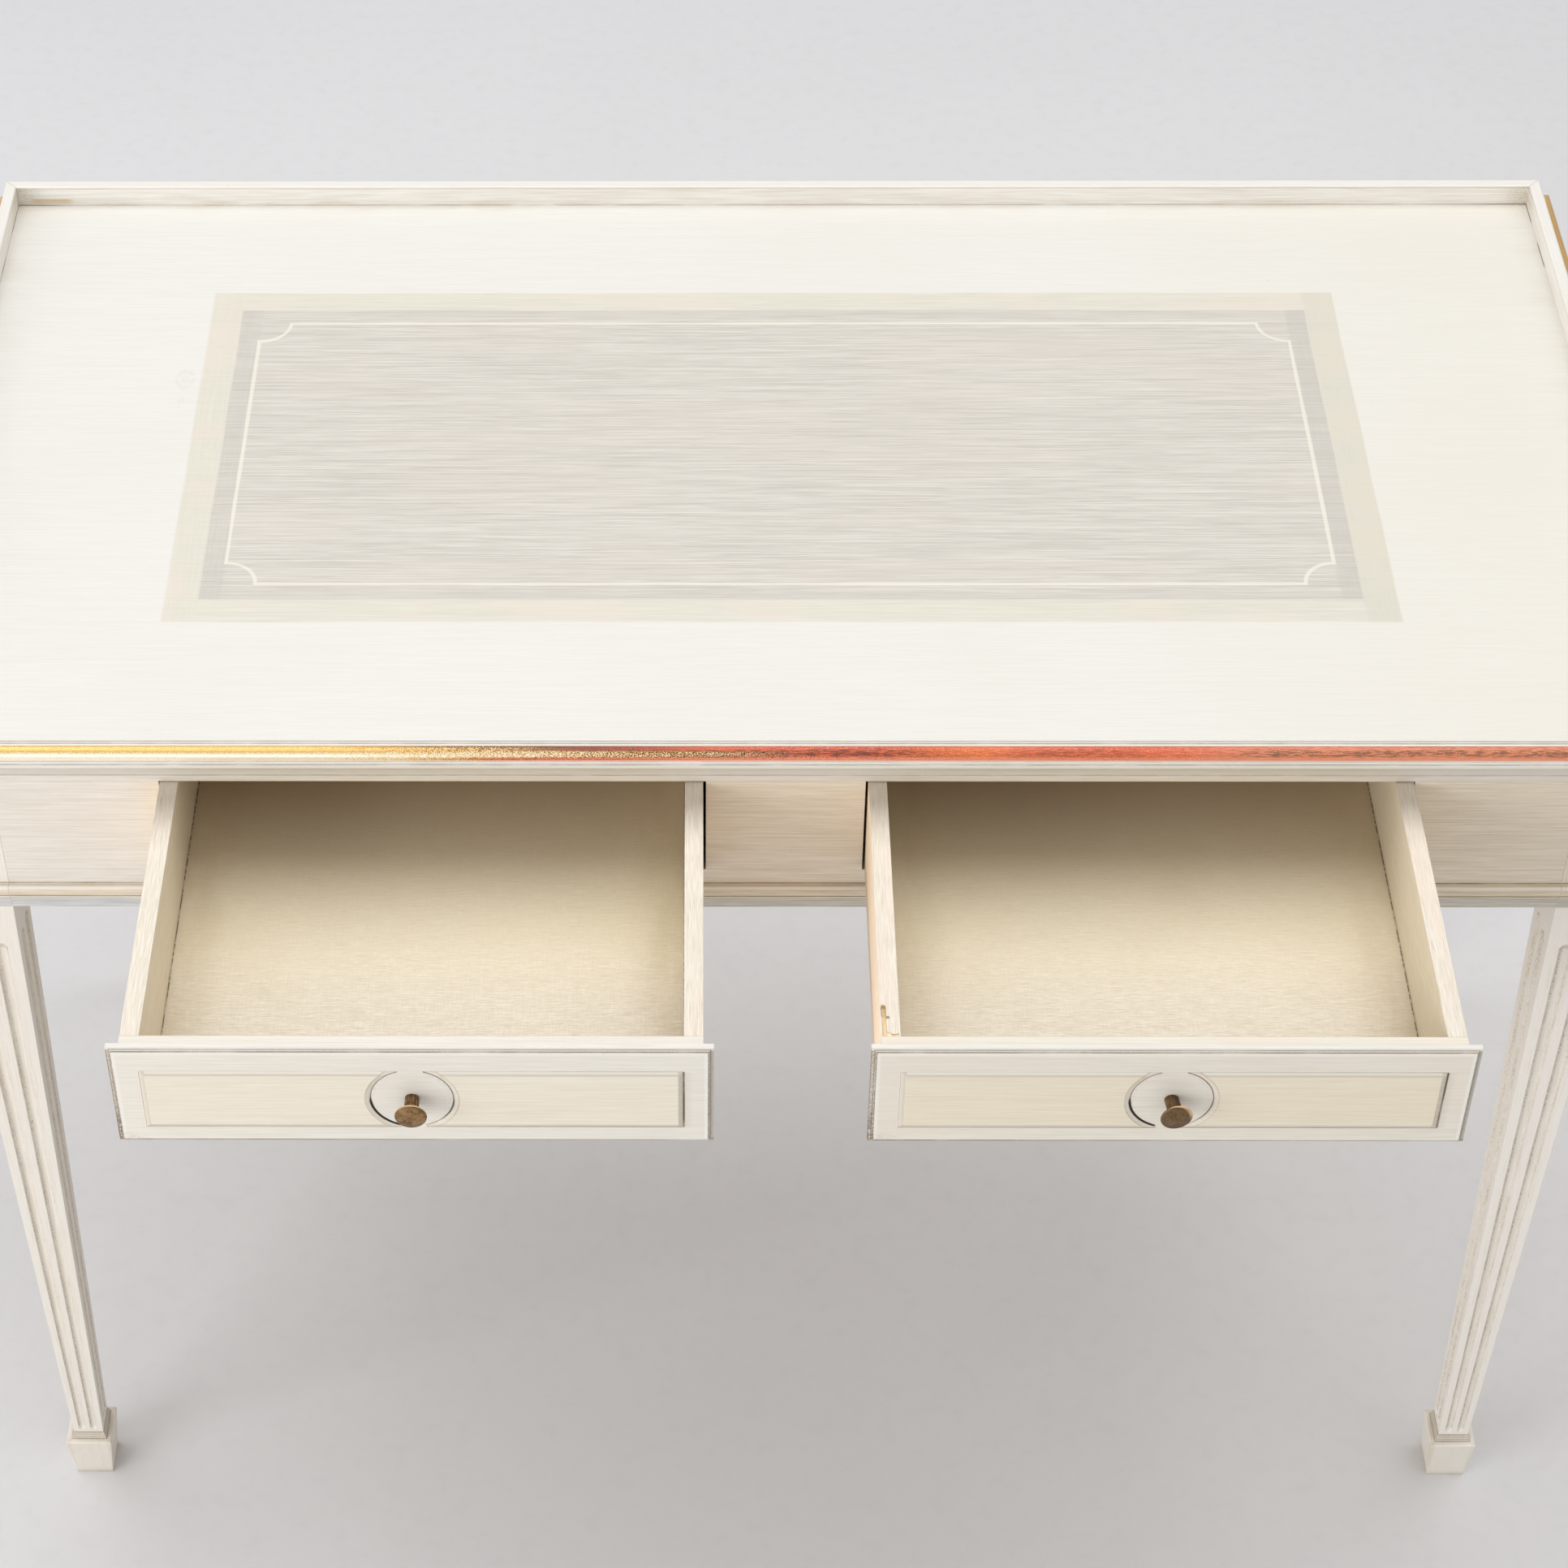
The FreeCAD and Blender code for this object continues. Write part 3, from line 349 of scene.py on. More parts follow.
def leg_material():
    """posts, fluted legs and feet: glaze left in the flutes and between the ribs of the collar, painted shade on the
    flute walls turned from the light, and painted light and warm shade on the legs and posts at the right.
    """
    g = Graph("paint_leg")
    seed = 8.0
    colour, s = paint_core(g, "z", seed, C(236, 230, 221), C(212, 202, 188), 0.28, 0.25, C(233, 222, 207))
    # the legs on the right are painted lighter, a painted light
    colour = g.mix(g.ramp(g.x, -0.1, 0.1, 0.0, 0.45), colour, C(246, 241, 232))
    lx = g.absolute(g.sub(g.absolute(g.x), 495.95 * MM))
    ly = g.absolute(g.sub(g.absolute(g.sub(g.y, BOARD_YC)), 239.9 * MM))
    half = g.add(g.mul(g.sub(g.z, 0.604), 0.01809), 0.02085)
    a = g.m("DIVIDE", g.mini(lx, ly), half)
    br = broken(g, seed, 26.0, 0.3, 0.62, 0.3)
    along = g.between(g.z, 0.0525, 0.5650, 0.0015)
    fine = g.streaks("z", 12.0, (40.0, 16.0, 5.0), (1500.0, 700.0, 200.0), (0.45, 0.35, 0.2))
    grit = g.ramp(g.noise((1100.0, 1100.0, 240.0), (4, 1, 7), 1.0), 0.46, 0.62)
    inside = g.mul(g.between(a, 0.20, 0.58, 0.02), along)
    colour = g.mix(g.times(inside, g.ramp(fine, 0.2, 0.9, 0.10, 0.75), 0.34), colour, C(194, 180, 156))
    edge = g.mul(g.maxi(g.band(a, 0.205, 0.010, 0.05), g.band(a, 0.575, 0.010, 0.05)), along)
    colour = g.mix(g.times(edge, br, g.ramp(grit, 0.0, 1.0, 0.20, 0.60), g.ramp(g.x, -0.1, 0.1, 0.50, 0.45)), colour, C(146, 121, 90))
    beside = g.mul(g.maxi(g.band(a, 0.10, 0.03, 0.07), g.band(a, 0.70, 0.03, 0.08)), g.ramp(g.z, 0.60, 0.56))
    colour = g.mix(g.times(beside, g.ramp(fine, 0.5, 0.9), 0.18), colour, C(200, 184, 162))
    # stippled glaze and painted shade on the walls of the flutes, most of it on the left walls of the front faces, the
    # walls turned from the light
    t = g.sub(g.x, g.ramp(g.x, -0.1, 0.1, -495.95 * MM, 495.95 * MM))
    outer_w, inner_w = g.band(a, 0.530, 0.030, 0.070), g.band(a, 0.250, 0.030, 0.070)
    both = g.maxi(outer_w, inner_w)
    shaded = g.lerp(g.ramp(t, -0.0004, 0.0004), outer_w, inner_w)
    wall = g.lerp(g.ramp(g.sub(ly, lx), 0.0, 0.0005), g.mul(both, 0.5), g.maxi(shaded, g.mul(both, 0.25)))
    stipple = g.ramp(g.noise(980.0, (2, 6, 3), 1.0, 0.6), 0.48, 0.60, 0.12, 1.0)
    colour = g.mix(g.times(wall, stipple, along, g.ramp(br, 0.3, 1.0, 0.45, 0.85), g.ramp(g.x, -0.1, 0.1, 0.52, 1.0)), colour, C(156, 136, 92))
    # painted warm shade on the posts at the right, as on the aprons beside them
    right = g.ramp(g.x, -0.1, 0.1)
    colour = g.mix(g.times(right, g.ramp(g.z, 0.6036, 0.6040), 0.7), colour, g.mix(g.mul(s, 0.55), C(232, 219, 194), C(211, 193, 164)))
    head = g.mul(g.band(g.z, 0.5655, 0.0008, 0.0018), g.between(a, 0.16, 0.62, 0.03))
    colour = g.mix(g.mul(head, 0.35), colour, C(150, 128, 98))
    nx, ny, nz = g.true_normal()
    level = g.lerp(g.ramp(g.sub(g.absolute(nx), g.absolute(ny)), -0.1, 0.1), g.streaks("x", 3.0), g.streaks("y", 7.0))
    colour = bead_lines(g, colour, level, br)
    s = g.lerp(g.between(g.z, 0.6038, 0.6252, 0.0003), s, level)
    # collar ribs and foot
    wide = g.maxi(lx, ly)
    rib = g.mul(g.between(g.z, 0.0395, 0.0460, 0.0002), g.ramp(wide, 0.0131, 0.0129))
    ribc = g.mix(g.mul(fine, 0.6), C(214, 205, 190), C(184, 171, 150))
    colour = g.mix(g.mul(rib, 0.8), colour, ribc)
    for zc, am in ((0.0399, 0.60), (0.0417, 0.30), (0.0437, 0.25), (0.0456, 0.50)):
        colour = g.mix(g.times(g.band(g.z, zc, 0.00015, 0.0004), rib, br, am), colour, C(118, 98, 72))
    block = g.ramp(g.z, 0.0402, 0.0399)
    colour = g.mix(g.times(block, g.inv(rib), 0.35), colour, C(218, 209, 194))
    corner = g.times(g.ramp(g.mini(lx, ly), 0.0115, 0.0150), block, g.inv(rib))
    colour = g.mix(g.times(corner, br, 0.30), colour, C(190, 166, 130))
    low = g.ramp(g.z, 0.006, 0.0)
    colour = g.mix(g.times(low, br, 0.4), colour, C(150, 128, 98))
    colour = hollow_dirt_and_shade(g, colour, seed, 0.005, 0.45)
    # convex edges lightened: rubbed paint and a painted highlight along the arrises
    colour = g.mix(g.mul(g.ramp(g.arris(0.0011), 0.25, 0.6), 0.45), colour, WORN_WHITE_AND_HIGHLIGHT)
    colour = g.mix(g.mul(g.specks(55.0, 0.0011, 0.05, seed), 0.7), colour, DIRT_AND_SHADE)
    rough = g.ramp(s, 0.0, 1.0, 0.40, 0.52, smooth=False)
    return g.finish(colour, rough, height=s, bump=0.12, edge=0.0006, specular=0.4)


PAINT_X = apron_material("paint_x", "x", 2.0)
PAINT_Y = apron_material("paint_y", "y", 5.0)
PAINT_Z = leg_material()


# ---------------------------------------------------------------------------
# top board with its painted writing panel
# ---------------------------------------------------------------------------
def top_material():
    g = Graph("paint_top")
    # the panel was painted a little to the left of the middle
    px = g.add(g.x, PANEL_SHIFT)
    ax = g.absolute(px)
    colour, s = paint_core(g, "x", 11.0, C(225, 223, 217), C(212, 208, 199), 0.38, 0.20, C(220, 213, 203))
    # painted shade: the right half of the top turns warmer and darker
    colour = g.mix(g.ramp(g.x, 0.05, 0.50, 0.0, 0.32), colour, C(220, 213, 198))
    sy = g.streaks("y", 14.0)
    wob = g.mul(g.sub(g.noise((14.0, 14.0, 1.0), (4, 4, 4), 2.0), 0.5), 0.0020)
    rag = g.mul(g.sub(g.noise((30.0, 750.0, 1.0), (3, 6, 1), 1.0), 0.5), 0.0045)
    # rectangles of the panel, measured as a signed distance (negative inside)
    yc, hy = (273.10 - ORIGIN) * MM, 168.15 * MM
    yg = (273.60 - ORIGIN) * MM
    dy = g.sub(g.absolute(g.sub(g.y, yc)), hy)
    dx = g.sub(ax, 375.1 * MM)
    band_d = g.add(g.maxi(dx, dy), wob)
    band = g.ramp(band_d, 0.0009, -0.0009)
    gdx, gdy = g.sub(ax, 354.6 * MM), g.sub(g.absolute(g.sub(g.y, yg)), 148.05 * MM)
    grey_d = g.add(g.maxi(gdx, gdy), wob)
    grey = g.ramp(grey_d, 0.0008, -0.0008)
    # band: thin olive wash; the strokes of the end bands run front to back
    end = g.ramp(g.add(gdx, g.mul(wob, 2.0)), -0.0015, 0.0015)
    st = g.lerp(end, s, g.mul(g.add(s, sy), 0.5))
    olive = g.mix(st, C(217, 213, 199), C(205, 201, 186))
    peach = g.ramp(g.noise((16.0, 22.0, 1.0), (7, 2, 1), 3.0), 0.47, 0.62)
    olive = g.mix(g.mul(peach, 0.50), olive, C(221, 208, 194))
    outer = g.times(g.ramp(g.add(dx, rag), -0.0135, -0.0065), end, g.ramp(peach, 0.0, 1.0, 0.35, 1.0))
    olive = g.mix(g.mul(outer, 0.35), olive, C(220, 209, 195))
    olive = g.mix(g.times(g.ramp(g.x, 0.30, 0.36), end, 0.5), olive, C(202, 198, 182))
    colour = g.mix(g.mul(band, 0.88), colour, olive)
    # grey field with fine brush strokes
    s2 = g.streaks("x", 21.0, (13.0, 42.0, 4.0), (1450.0, 1250.0, 150.0), (0.54, 0.40, 0.06), 0.38, 0.62)
    field = g.mix(s2, C(190, 185, 176), C(215, 210, 201))
    pink = g.ramp(g.noise((6.0, 26.0, 1.0), (1, 5, 2), 3.0), 0.46, 0.7)
    field = g.mix(g.mul(pink, 0.28), field, C(208, 197, 188))
    rim = g.ramp(g.add(gdx, rag), -0.0150, -0.0115)
    rim_s = g.mix(g.mul(g.add(sy, s2), 0.5), C(186, 181, 172), C(203, 198, 189))
    rim_s = g.mix(g.mul(g.ramp(g.x, 0.2, 0.3), 0.35), rim_s, C(182, 179, 170))
    field = g.mix(g.mul(rim, 0.55), field, rim_s)
    rim2 = g.mul(g.ramp(gdy, -0.0125, -0.003), 0.3)
    field = g.mix(rim2, field, C(193, 190, 182))
    colour = g.mix(grey, colour, field)
    # cream line with scooped corners
    lx, ly = g.sub(ax, 340.8 * MM), g.sub(g.absolute(g.sub(g.y, yg)), 133.3 * MM)
    rect = g.maxi(lx, ly)
    corner = g.length(lx, ly)
    scoop = g.sub(0.0196, corner)
    line_d = g.absolute(g.add(g.maxi(rect, scoop), g.mul(wob, 0.4)))
    width = g.ramp(g.noise(22.0, (9, 9, 9), 2.0), 0.3, 0.7, 0.0008, 0.0013)
    line = g.ramp(g.sub(line_d, width), 0.0004, -0.0002)
    fade = g.ramp(s2, 0.0, 1.0, 0.80, 1.0)
    colour = g.mix(g.mul(line, fade), colour, C(224, 220, 207))
    # a faint knot in the board near the left end
    kx, ky = g.add(g.x, 0.3882), g.sub(g.y, (346.0 - ORIGIN) * MM)
    kd = g.length(kx, g.mul(ky, 0.62))
    knot = g.mul(g.band(kd, 0.0052, 0.0003, 0.0016), g.ramp(g.noise((220.0, 220.0, 1.0), (3, 1, 1), 2.0), 0.36, 0.56))
    knot = g.maxi(knot, g.mul(g.band(kd, 0.0015, 0.0003, 0.0014), 0.8))
    tail = g.times(g.between(ky, -0.030, -0.008, 0.004), g.ramp(g.absolute(kx), 0.0042, 0.001), g.ramp(g.noise((500.0, 130.0, 1.0), (3, 5, 1), 2.0), 0.46, 0.6))
    colour = g.mix(g.mul(g.maxi(knot, g.mul(tail, 0.7)), 0.13), colour, C(176, 168, 160))
    # thin dirt along the gallery
    side = g.sub(GAL_IN_X, g.absolute(g.sub(g.x, GAL_MID)))
    depth = g.sub(GAL_IN_Y, g.y)
    within = g.ramp(g.mini(side, depth), -0.0010, -0.0004)
    wisp = g.noise((18.0, 50.0, 1.0), (2, 8, 4), 4.0, 0.65)
    smear = g.mul(g.ramp(side, 0.035, 0.0), g.ramp(wisp, 0.42, 0.72))
    colour = g.mix(g.times(smear, within, 0.14), colour, C(176, 160, 134))
    back = g.mul(g.ramp(depth, 0.014, 0.0), g.ramp(wisp, 0.42, 0.7))
    colour = g.mix(g.times(back, within, 0.16), colour, C(176, 158, 128))
    stip = g.ramp(g.noise((1100.0, 1100.0, 1.0), (6, 2, 2), 1.0), 0.50, 0.62)
    pocket = g.mul(g.ramp(side, 0.020, 0.0), g.ramp(depth, 0.026, 0.0))
    colour = g.mix(g.times(pocket, stip, within, 0.30), colour, C(150, 130, 100))
    bk = g.ramp(g.noise((30.0, 30.0, 1.0), (5, 1, 8), 3.0), 0.40, 0.56, 0.3, 1.0)
    line_back = g.mul(g.ramp(depth, 0.0006, 0.0001), within)
    colour = g.mix(g.times(line_back, bk, 0.55), colour, C(134, 114, 88))
    dark_ends = g.maxi(g.ramp(g.x, GAL_MID - GAL_IN_X + 0.042, GAL_MID - GAL_IN_X + 0.014), g.ramp(g.x, GAL_MID + GAL_IN_X - 0.055, GAL_MID + GAL_IN_X - 0.004))
    colour = g.mix(g.times(line_back, dark_ends, 0.8), colour, C(70, 54, 38))
    line_side = g.mul(g.ramp(side, 0.0006, 0.0001), within)
    left = g.mul(g.ramp(g.x, 0.0, -0.1), g.mul(bk, 0.6))
    dashes = g.mul(g.maxi(g.ramp(depth, 0.024, 0.020), g.between(depth, 0.047, 0.074, 0.002)), g.mul(g.ramp(g.x, 0.0, 0.1), 0.85))
    colour = g.mix(g.mul(line_side, g.maxi(left, dashes)), colour, C(84, 68, 50))
    # specks
    colour = g.mix(g.mul(g.specks(30.0, 0.0012, 0.05, 3.0), 0.7), colour, C(130, 110, 86))
    # the underside is bare inside the frame
    sw = g.streaks("x", 19.0, (4.0, 2.0, 1.0), (700.0, 240.0, 60.0), (0.3, 0.4, 0.3))
    bare = g.mix(sw, C(222, 196, 156), C(200, 168, 122))
    framed = g.mul(g.ramp(g.absolute(g.x), 0.5165, 0.5155), g.ramp(g.absolute(g.sub(g.y, BOARD_YC)), 0.2605, 0.2595))
    colour = g.mix(g.mul(g.ramp(g.z, TOP_Z - 0.002, TOP_Z - 0.003), framed), colour, bare)
    rough = g.ramp(s, 0.0, 1.0, 0.36, 0.48, smooth=False)
    return g.finish(colour, rough, height=g.lerp(grey, s, s2), bump=0.12, edge=0.0005, specular=0.4)


# ---------------------------------------------------------------------------
# gallery rails
# ---------------------------------------------------------------------------
def gallery_material(name, axis, seed):
    g = Graph(name)
    colour, s = paint_core(g, axis, seed, C(228, 225, 219), C(212, 206, 196), 0.40, 0.2, C(224, 215, 203))
    nx, ny, nz = g.true_normal()
    upright = g.ramp(g.absolute(nz), 0.6, 0.3)
    st = g.streaks(axis, seed + 2.0, (36.0, 14.0, 5.0), (1000.0, 420.0, 90.0), (0.40, 0.36, 0.24))
    wash = g.mix(st, C(243, 240, 234), C(222, 215, 204))
    colour = g.mix(g.mul(upright, 0.85), colour, wash)
    h = g.sub(g.z, TOP_Z)
    gx = g.sub(g.x, GAL_MID)
    side, depth = g.sub(GAL_IN_X, g.absolute(gx)), g.sub(GAL_IN_Y, g.y)
    within = g.ramp(g.mini(side, depth), -0.0030, -0.0015)
    bk = g.ramp(g.noise((30.0, 30.0, 1.0), (5, 1, 8), 3.0), 0.40, 0.56, 0.3, 1.0)
    wisp = g.noise((16.0, 16.0, 90.0), (seed, 3, 3), 4.0, 0.65)
    low = g.mul(g.ramp(h, 0.0085, 0.001), g.ramp(wisp, 0.45, 0.7))
    colour = g.mix(g.times(low, upright, 0.25), colour, C(192, 166, 116))
    base = g.times(g.ramp(h, 0.0006, 0.0001), upright, within)
    if axis == "x":
        smear = g.times(g.between(gx, -GAL_IN_X + 0.010, -GAL_IN_X + 0.037, 0.004), g.between(h, 0.0014, 0.0052, 0.0008), g.ramp(wisp, 0.36, 0.6, 0.6, 1.0))
        colour = g.mix(g.times(smear, upright, within, 0.8), colour, C(196, 158, 92))
        dark_ends = g.maxi(g.ramp(gx, 0.042 - GAL_IN_X, 0.014 - GAL_IN_X), g.ramp(gx, GAL_IN_X - 0.055, GAL_IN_X - 0.004))
        colour = g.mix(g.times(base, dark_ends, 0.8), colour, C(70, 54, 38))
        colour = g.mix(g.times(base, bk, 0.45), colour, C(134, 114, 88))
    else:
        left = g.mul(g.ramp(g.x, 0.0, -0.1), g.mul(bk, 0.6))
        dashes = g.mul(g.maxi(g.ramp(depth, 0.024, 0.020), g.between(depth, 0.047, 0.074, 0.002)), g.mul(g.ramp(g.x, 0.0, 0.1), 0.85))
        colour = g.mix(g.mul(base, g.maxi(left, dashes)), colour, C(84, 68, 50))
    stip = g.ramp(g.noise(1100.0, (seed, 1, 1), 1.0), 0.46, 0.64)
    pocket = g.mul(g.ramp(side, 0.024, 0.0), g.ramp(depth, 0.040, 0.0))
    colour = g.mix(g.times(pocket, upright, within, g.ramp(stip, 0.0, 1.0, 0.15, 0.50)), colour, C(160, 138, 104))
    under = g.mul(g.band(h, 0.0137, 0.0002, 0.0006), upright)
    colour = g.mix(g.mul(under, 0.35), colour, C(160, 142, 114))
    mitre = g.mul(g.ramp(g.absolute(g.sub(side, depth)), 0.0006, 0.0002), g.inv(upright))
    colour = g.mix(g.mul(mitre, 0.40), colour, C(190, 166, 128))
    colour = g.mix(g.mul(g.specks(60.0, 0.0010, 0.05, seed), 0.6), colour, C(140, 120, 94))
    rough = g.ramp(s, 0.0, 1.0, 0.40, 0.52, smooth=False)
    return g.finish(colour, rough, height=s, bump=0.12, edge=0.0006, specular=0.4)


# ---------------------------------------------------------------------------
# edge moulding: off-white fillets and a worn gilt ovolo on red ground
# ---------------------------------------------------------------------------
def moulding_material(name, axis, seed):
    g = Graph(name)
    colour, s = paint_core(g, axis, seed, C(230, 226, 219), C(210, 203, 191), 0.35, 0.2, C(226, 216, 202))
    o = g.maxi(g.sub(g.absolute(g.x), BOARD_HALF), g.sub(g.absolute(g.sub(g.y, BOARD_YC)), BOARD_D / 2))
    h = g.sub(g.z, TOP_Z)
    br = broken(g, seed, 45.0, 0.32, 0.6, 0.4)
    # glaze left in the steps
    for oc, zc, wd, am in ((0.0, -0.8, 0.15, 0.45), (0.9, -1.6, 0.20, 0.55), (8.2, -9.3, 0.25, 0.40), (9.2, -10.8, 0.25, 0.55)):
        d = g.length(g.sub(o, oc * MM), g.sub(h, zc * MM))
        colour = g.mix(g.times(g.ramp(d, (wd + 0.35) * MM, wd * MM), br, am), colour, C(138, 128, 112))
    seam = g.ramp(o, 0.0006, 0.0002)
    colour = g.mix(g.times(seam, br, 0.6), colour, C(178, 160, 130))
    pinkish = g.between(h, -0.00915, -0.00845, 0.0001)
    colour = g.mix(g.mul(pinkish, 0.7), colour, C(238, 222, 210))
    # painted shade: the hollow under the fillets faces down and is painted grey-tan, darker at its lower edge
    hollow = g.ramp(h, -0.0128, -0.0134)
    hollow_shade = g.mix(g.mul(s, 0.6), C(215, 209, 199), C(199, 192, 180))
    hollow_shade = g.mix(g.times(g.ramp(h, -0.0222, -0.0236), br, 0.5), hollow_shade, C(150, 138, 118))
    colour = g.mix(hollow, colour, hollow_shade)
    # gilt zone
    gilt = g.mul(g.between(h, -0.00840, -0.00235, 0.00010), g.ramp(o, 0.0021, 0.0024))
    across = g.ramp(g.sub(g.mul(g.sub(o, 0.0024), 91.0), g.mul(g.add(h, 0.0025), 79.9)), 0.0, 1.0, smooth=False)      # 0 at the top, 1 at the lower edge
    fine = g.noise(1650.0, (seed, 2, 5), 1.0, 0.6)
    dots = g.ramp(fine, 0.39, 0.61, smooth=False)
    coarse = g.noise((420.0, 420.0, 700.0), (seed, 7, 1), 2.0, 0.6)
    run = g.noise((26.0, 26.0, 900.0) if axis == "x" else (900.0, 26.0, 900.0), (seed, 4, 1), 3.0, 0.6)
    runs = g.ramp(run, 0.36, 0.64)
    dash = g.ramp(g.noise((170.0, 1900.0, 1900.0) if axis == "x" else (1900.0, 170.0, 1900.0), (seed, 9, 4), 1.0, 0.6), 0.40, 0.60)
    on_front = g.ramp(g.y, FRONT_EDGE + 0.002, FRONT_EDGE)
    place = g.add(g.x, g.add(g.mul(g.sub(run, 0.5), 0.05), g.add(g.mul(g.sub(coarse, 0.5), 0.05), g.mul(g.sub(dots, 0.5), 0.05))))
    # leaf: whole at the left end with a painted near-white highlight on its lower half, stippled with brown towards the
    # middle, where a painted yellow highlight runs low along it
    near = g.mul(g.ramp(g.x, -0.290, -0.120), on_front)
    left_leaf_and_highlight = g.add(0.70, g.mul(g.ramp(across, 0.36, 0.60), 0.36))
    # painted yellow highlight in a band low across the stippled leaf
    grain = g.add(0.42, g.mul(g.band(across, 0.60, 0.10, 0.24), 0.40))
    value = g.add(g.lerp(near, left_leaf_and_highlight, grain), g.mul(g.sub(dots, 0.5), g.lerp(near, 0.24, 1.05)))
    value = g.sub(value, g.times(g.ramp(across, 0.14, 0.04), g.ramp(place, -0.27, -0.20), g.mul(on_front, 0.25)))
    value = g.sub(value, g.times(g.ramp(g.x, -0.155, -0.075), on_front, 0.34))
    gold = g.mix(g.ramp(value, 0.10, 0.48), C(92, 56, 38), C(190, 134, 66))
    gold = g.mix(g.ramp(value, 0.46, 0.76), gold, C(228, 193, 118))
    gold = g.mix(g.ramp(value, 0.80, 1.04), gold, C(246, 236, 214))
    ends = g.inv(on_front)
    gold = g.mix(g.mul(ends, 0.75), gold, g.mix(runs, C(190, 144, 84), C(210, 168, 104)))
    # red ground
    bole = g.mix(dots, C(178, 60, 40), C(244, 136, 100))
    warm = g.times(g.between(place, 0.075, 0.125, 0.02), 0.7)
    bole = g.mix(warm, bole, C(224, 130, 62))
    bole = g.mix(g.times(g.ramp(g.noise((12.0, 12.0, 12.0), (seed, 6, 2), 2.0), 0.45, 0.66), 0.35), bole, C(220, 116, 66))
    bole = g.mix(g.mul(dash, 0.38), bole, C(160, 70, 50))
    faded = g.mul(g.ramp(g.x, 0.200, 0.280), on_front)
    bole = g.mix(g.mul(faded, 0.6), bole, g.mix(g.mul(g.add(dots, dash), 0.5), C(236, 164, 124), C(176, 98, 68)))
    amount = g.add(g.add(g.mul(g.between(g.x, -0.150, 0.080, 0.03), 1.0), g.mul(g.between(g.x, 0.129, 0.199, 0.02), 0.6)), g.mul(g.ramp(g.x, 0.245, 0.285), 1.0))
    centre = g.add(across, g.mul(g.sub(run, 0.5), 0.5))
    streak = g.times(g.band(centre, 0.50, 0.14, 0.22), amount, g.ramp(g.add(dots, dash), 0.65, 1.25, 0.05, 1.0))
    early = g.times(g.between(g.x, -0.170, -0.060, 0.03), g.ramp(across, 0.50, 0.30), g.ramp(dots, 0.42, 0.58))
    bole = g.mix(g.mul(g.maxi(streak, early), 0.9), bole, g.mix(g.ramp(g.x, 0.2, 0.27), C(100, 60, 46), C(122, 88, 68)))
    pale = g.mul(g.ramp(across, 0.66, 0.90), g.ramp(fine, 0.3, 0.6, 0.45, 1.0))
    bole = g.mix(g.times(pale, g.ramp(g.x, -0.12, -0.02, 0.35, 0.75)), bole, C(236, 156, 124))
    # worn away from the middle of the front to its right end; the ends and the back keep their leaf
    lower = g.mul(g.ramp(across, 0.74, 0.84), g.ramp(place, -0.205, -0.145))
    upper = g.mul(g.ramp(across, 0.46, 0.26), g.ramp(place, -0.170, -0.100))
    whole = g.ramp(g.add(place, g.mul(g.sub(dots, 0.5), 0.06)), -0.075, 0.010)
    worn = g.mul(g.maxi(whole, g.maxi(lower, upper)), on_front)
    flecks = g.times(g.ramp(dots, 0.62, 0.74), g.band(across, 0.54, 0.10, 0.15), g.mul(worn, g.ramp(g.x, 0.02, -0.06, 0.0, 0.9)))
    leaf = g.sub(1.0, g.m("SUBTRACT", worn, flecks, clamp=True))
    gilding = g.mix(leaf, bole, gold)
    colour = g.mix(gilt, colour, gilding)
    metal = g.times(gilt, leaf, g.lerp(near, 0.35, 0.10))
    rough = g.lerp(gilt, g.ramp(s, 0.0, 1.0, 0.42, 0.54, smooth=False), g.lerp(leaf, 0.42, 0.28))
    return g.finish(colour, rough, metal, height=g.lerp(gilt, s, fine), bump=0.2, edge=0.0003, specular=0.4)


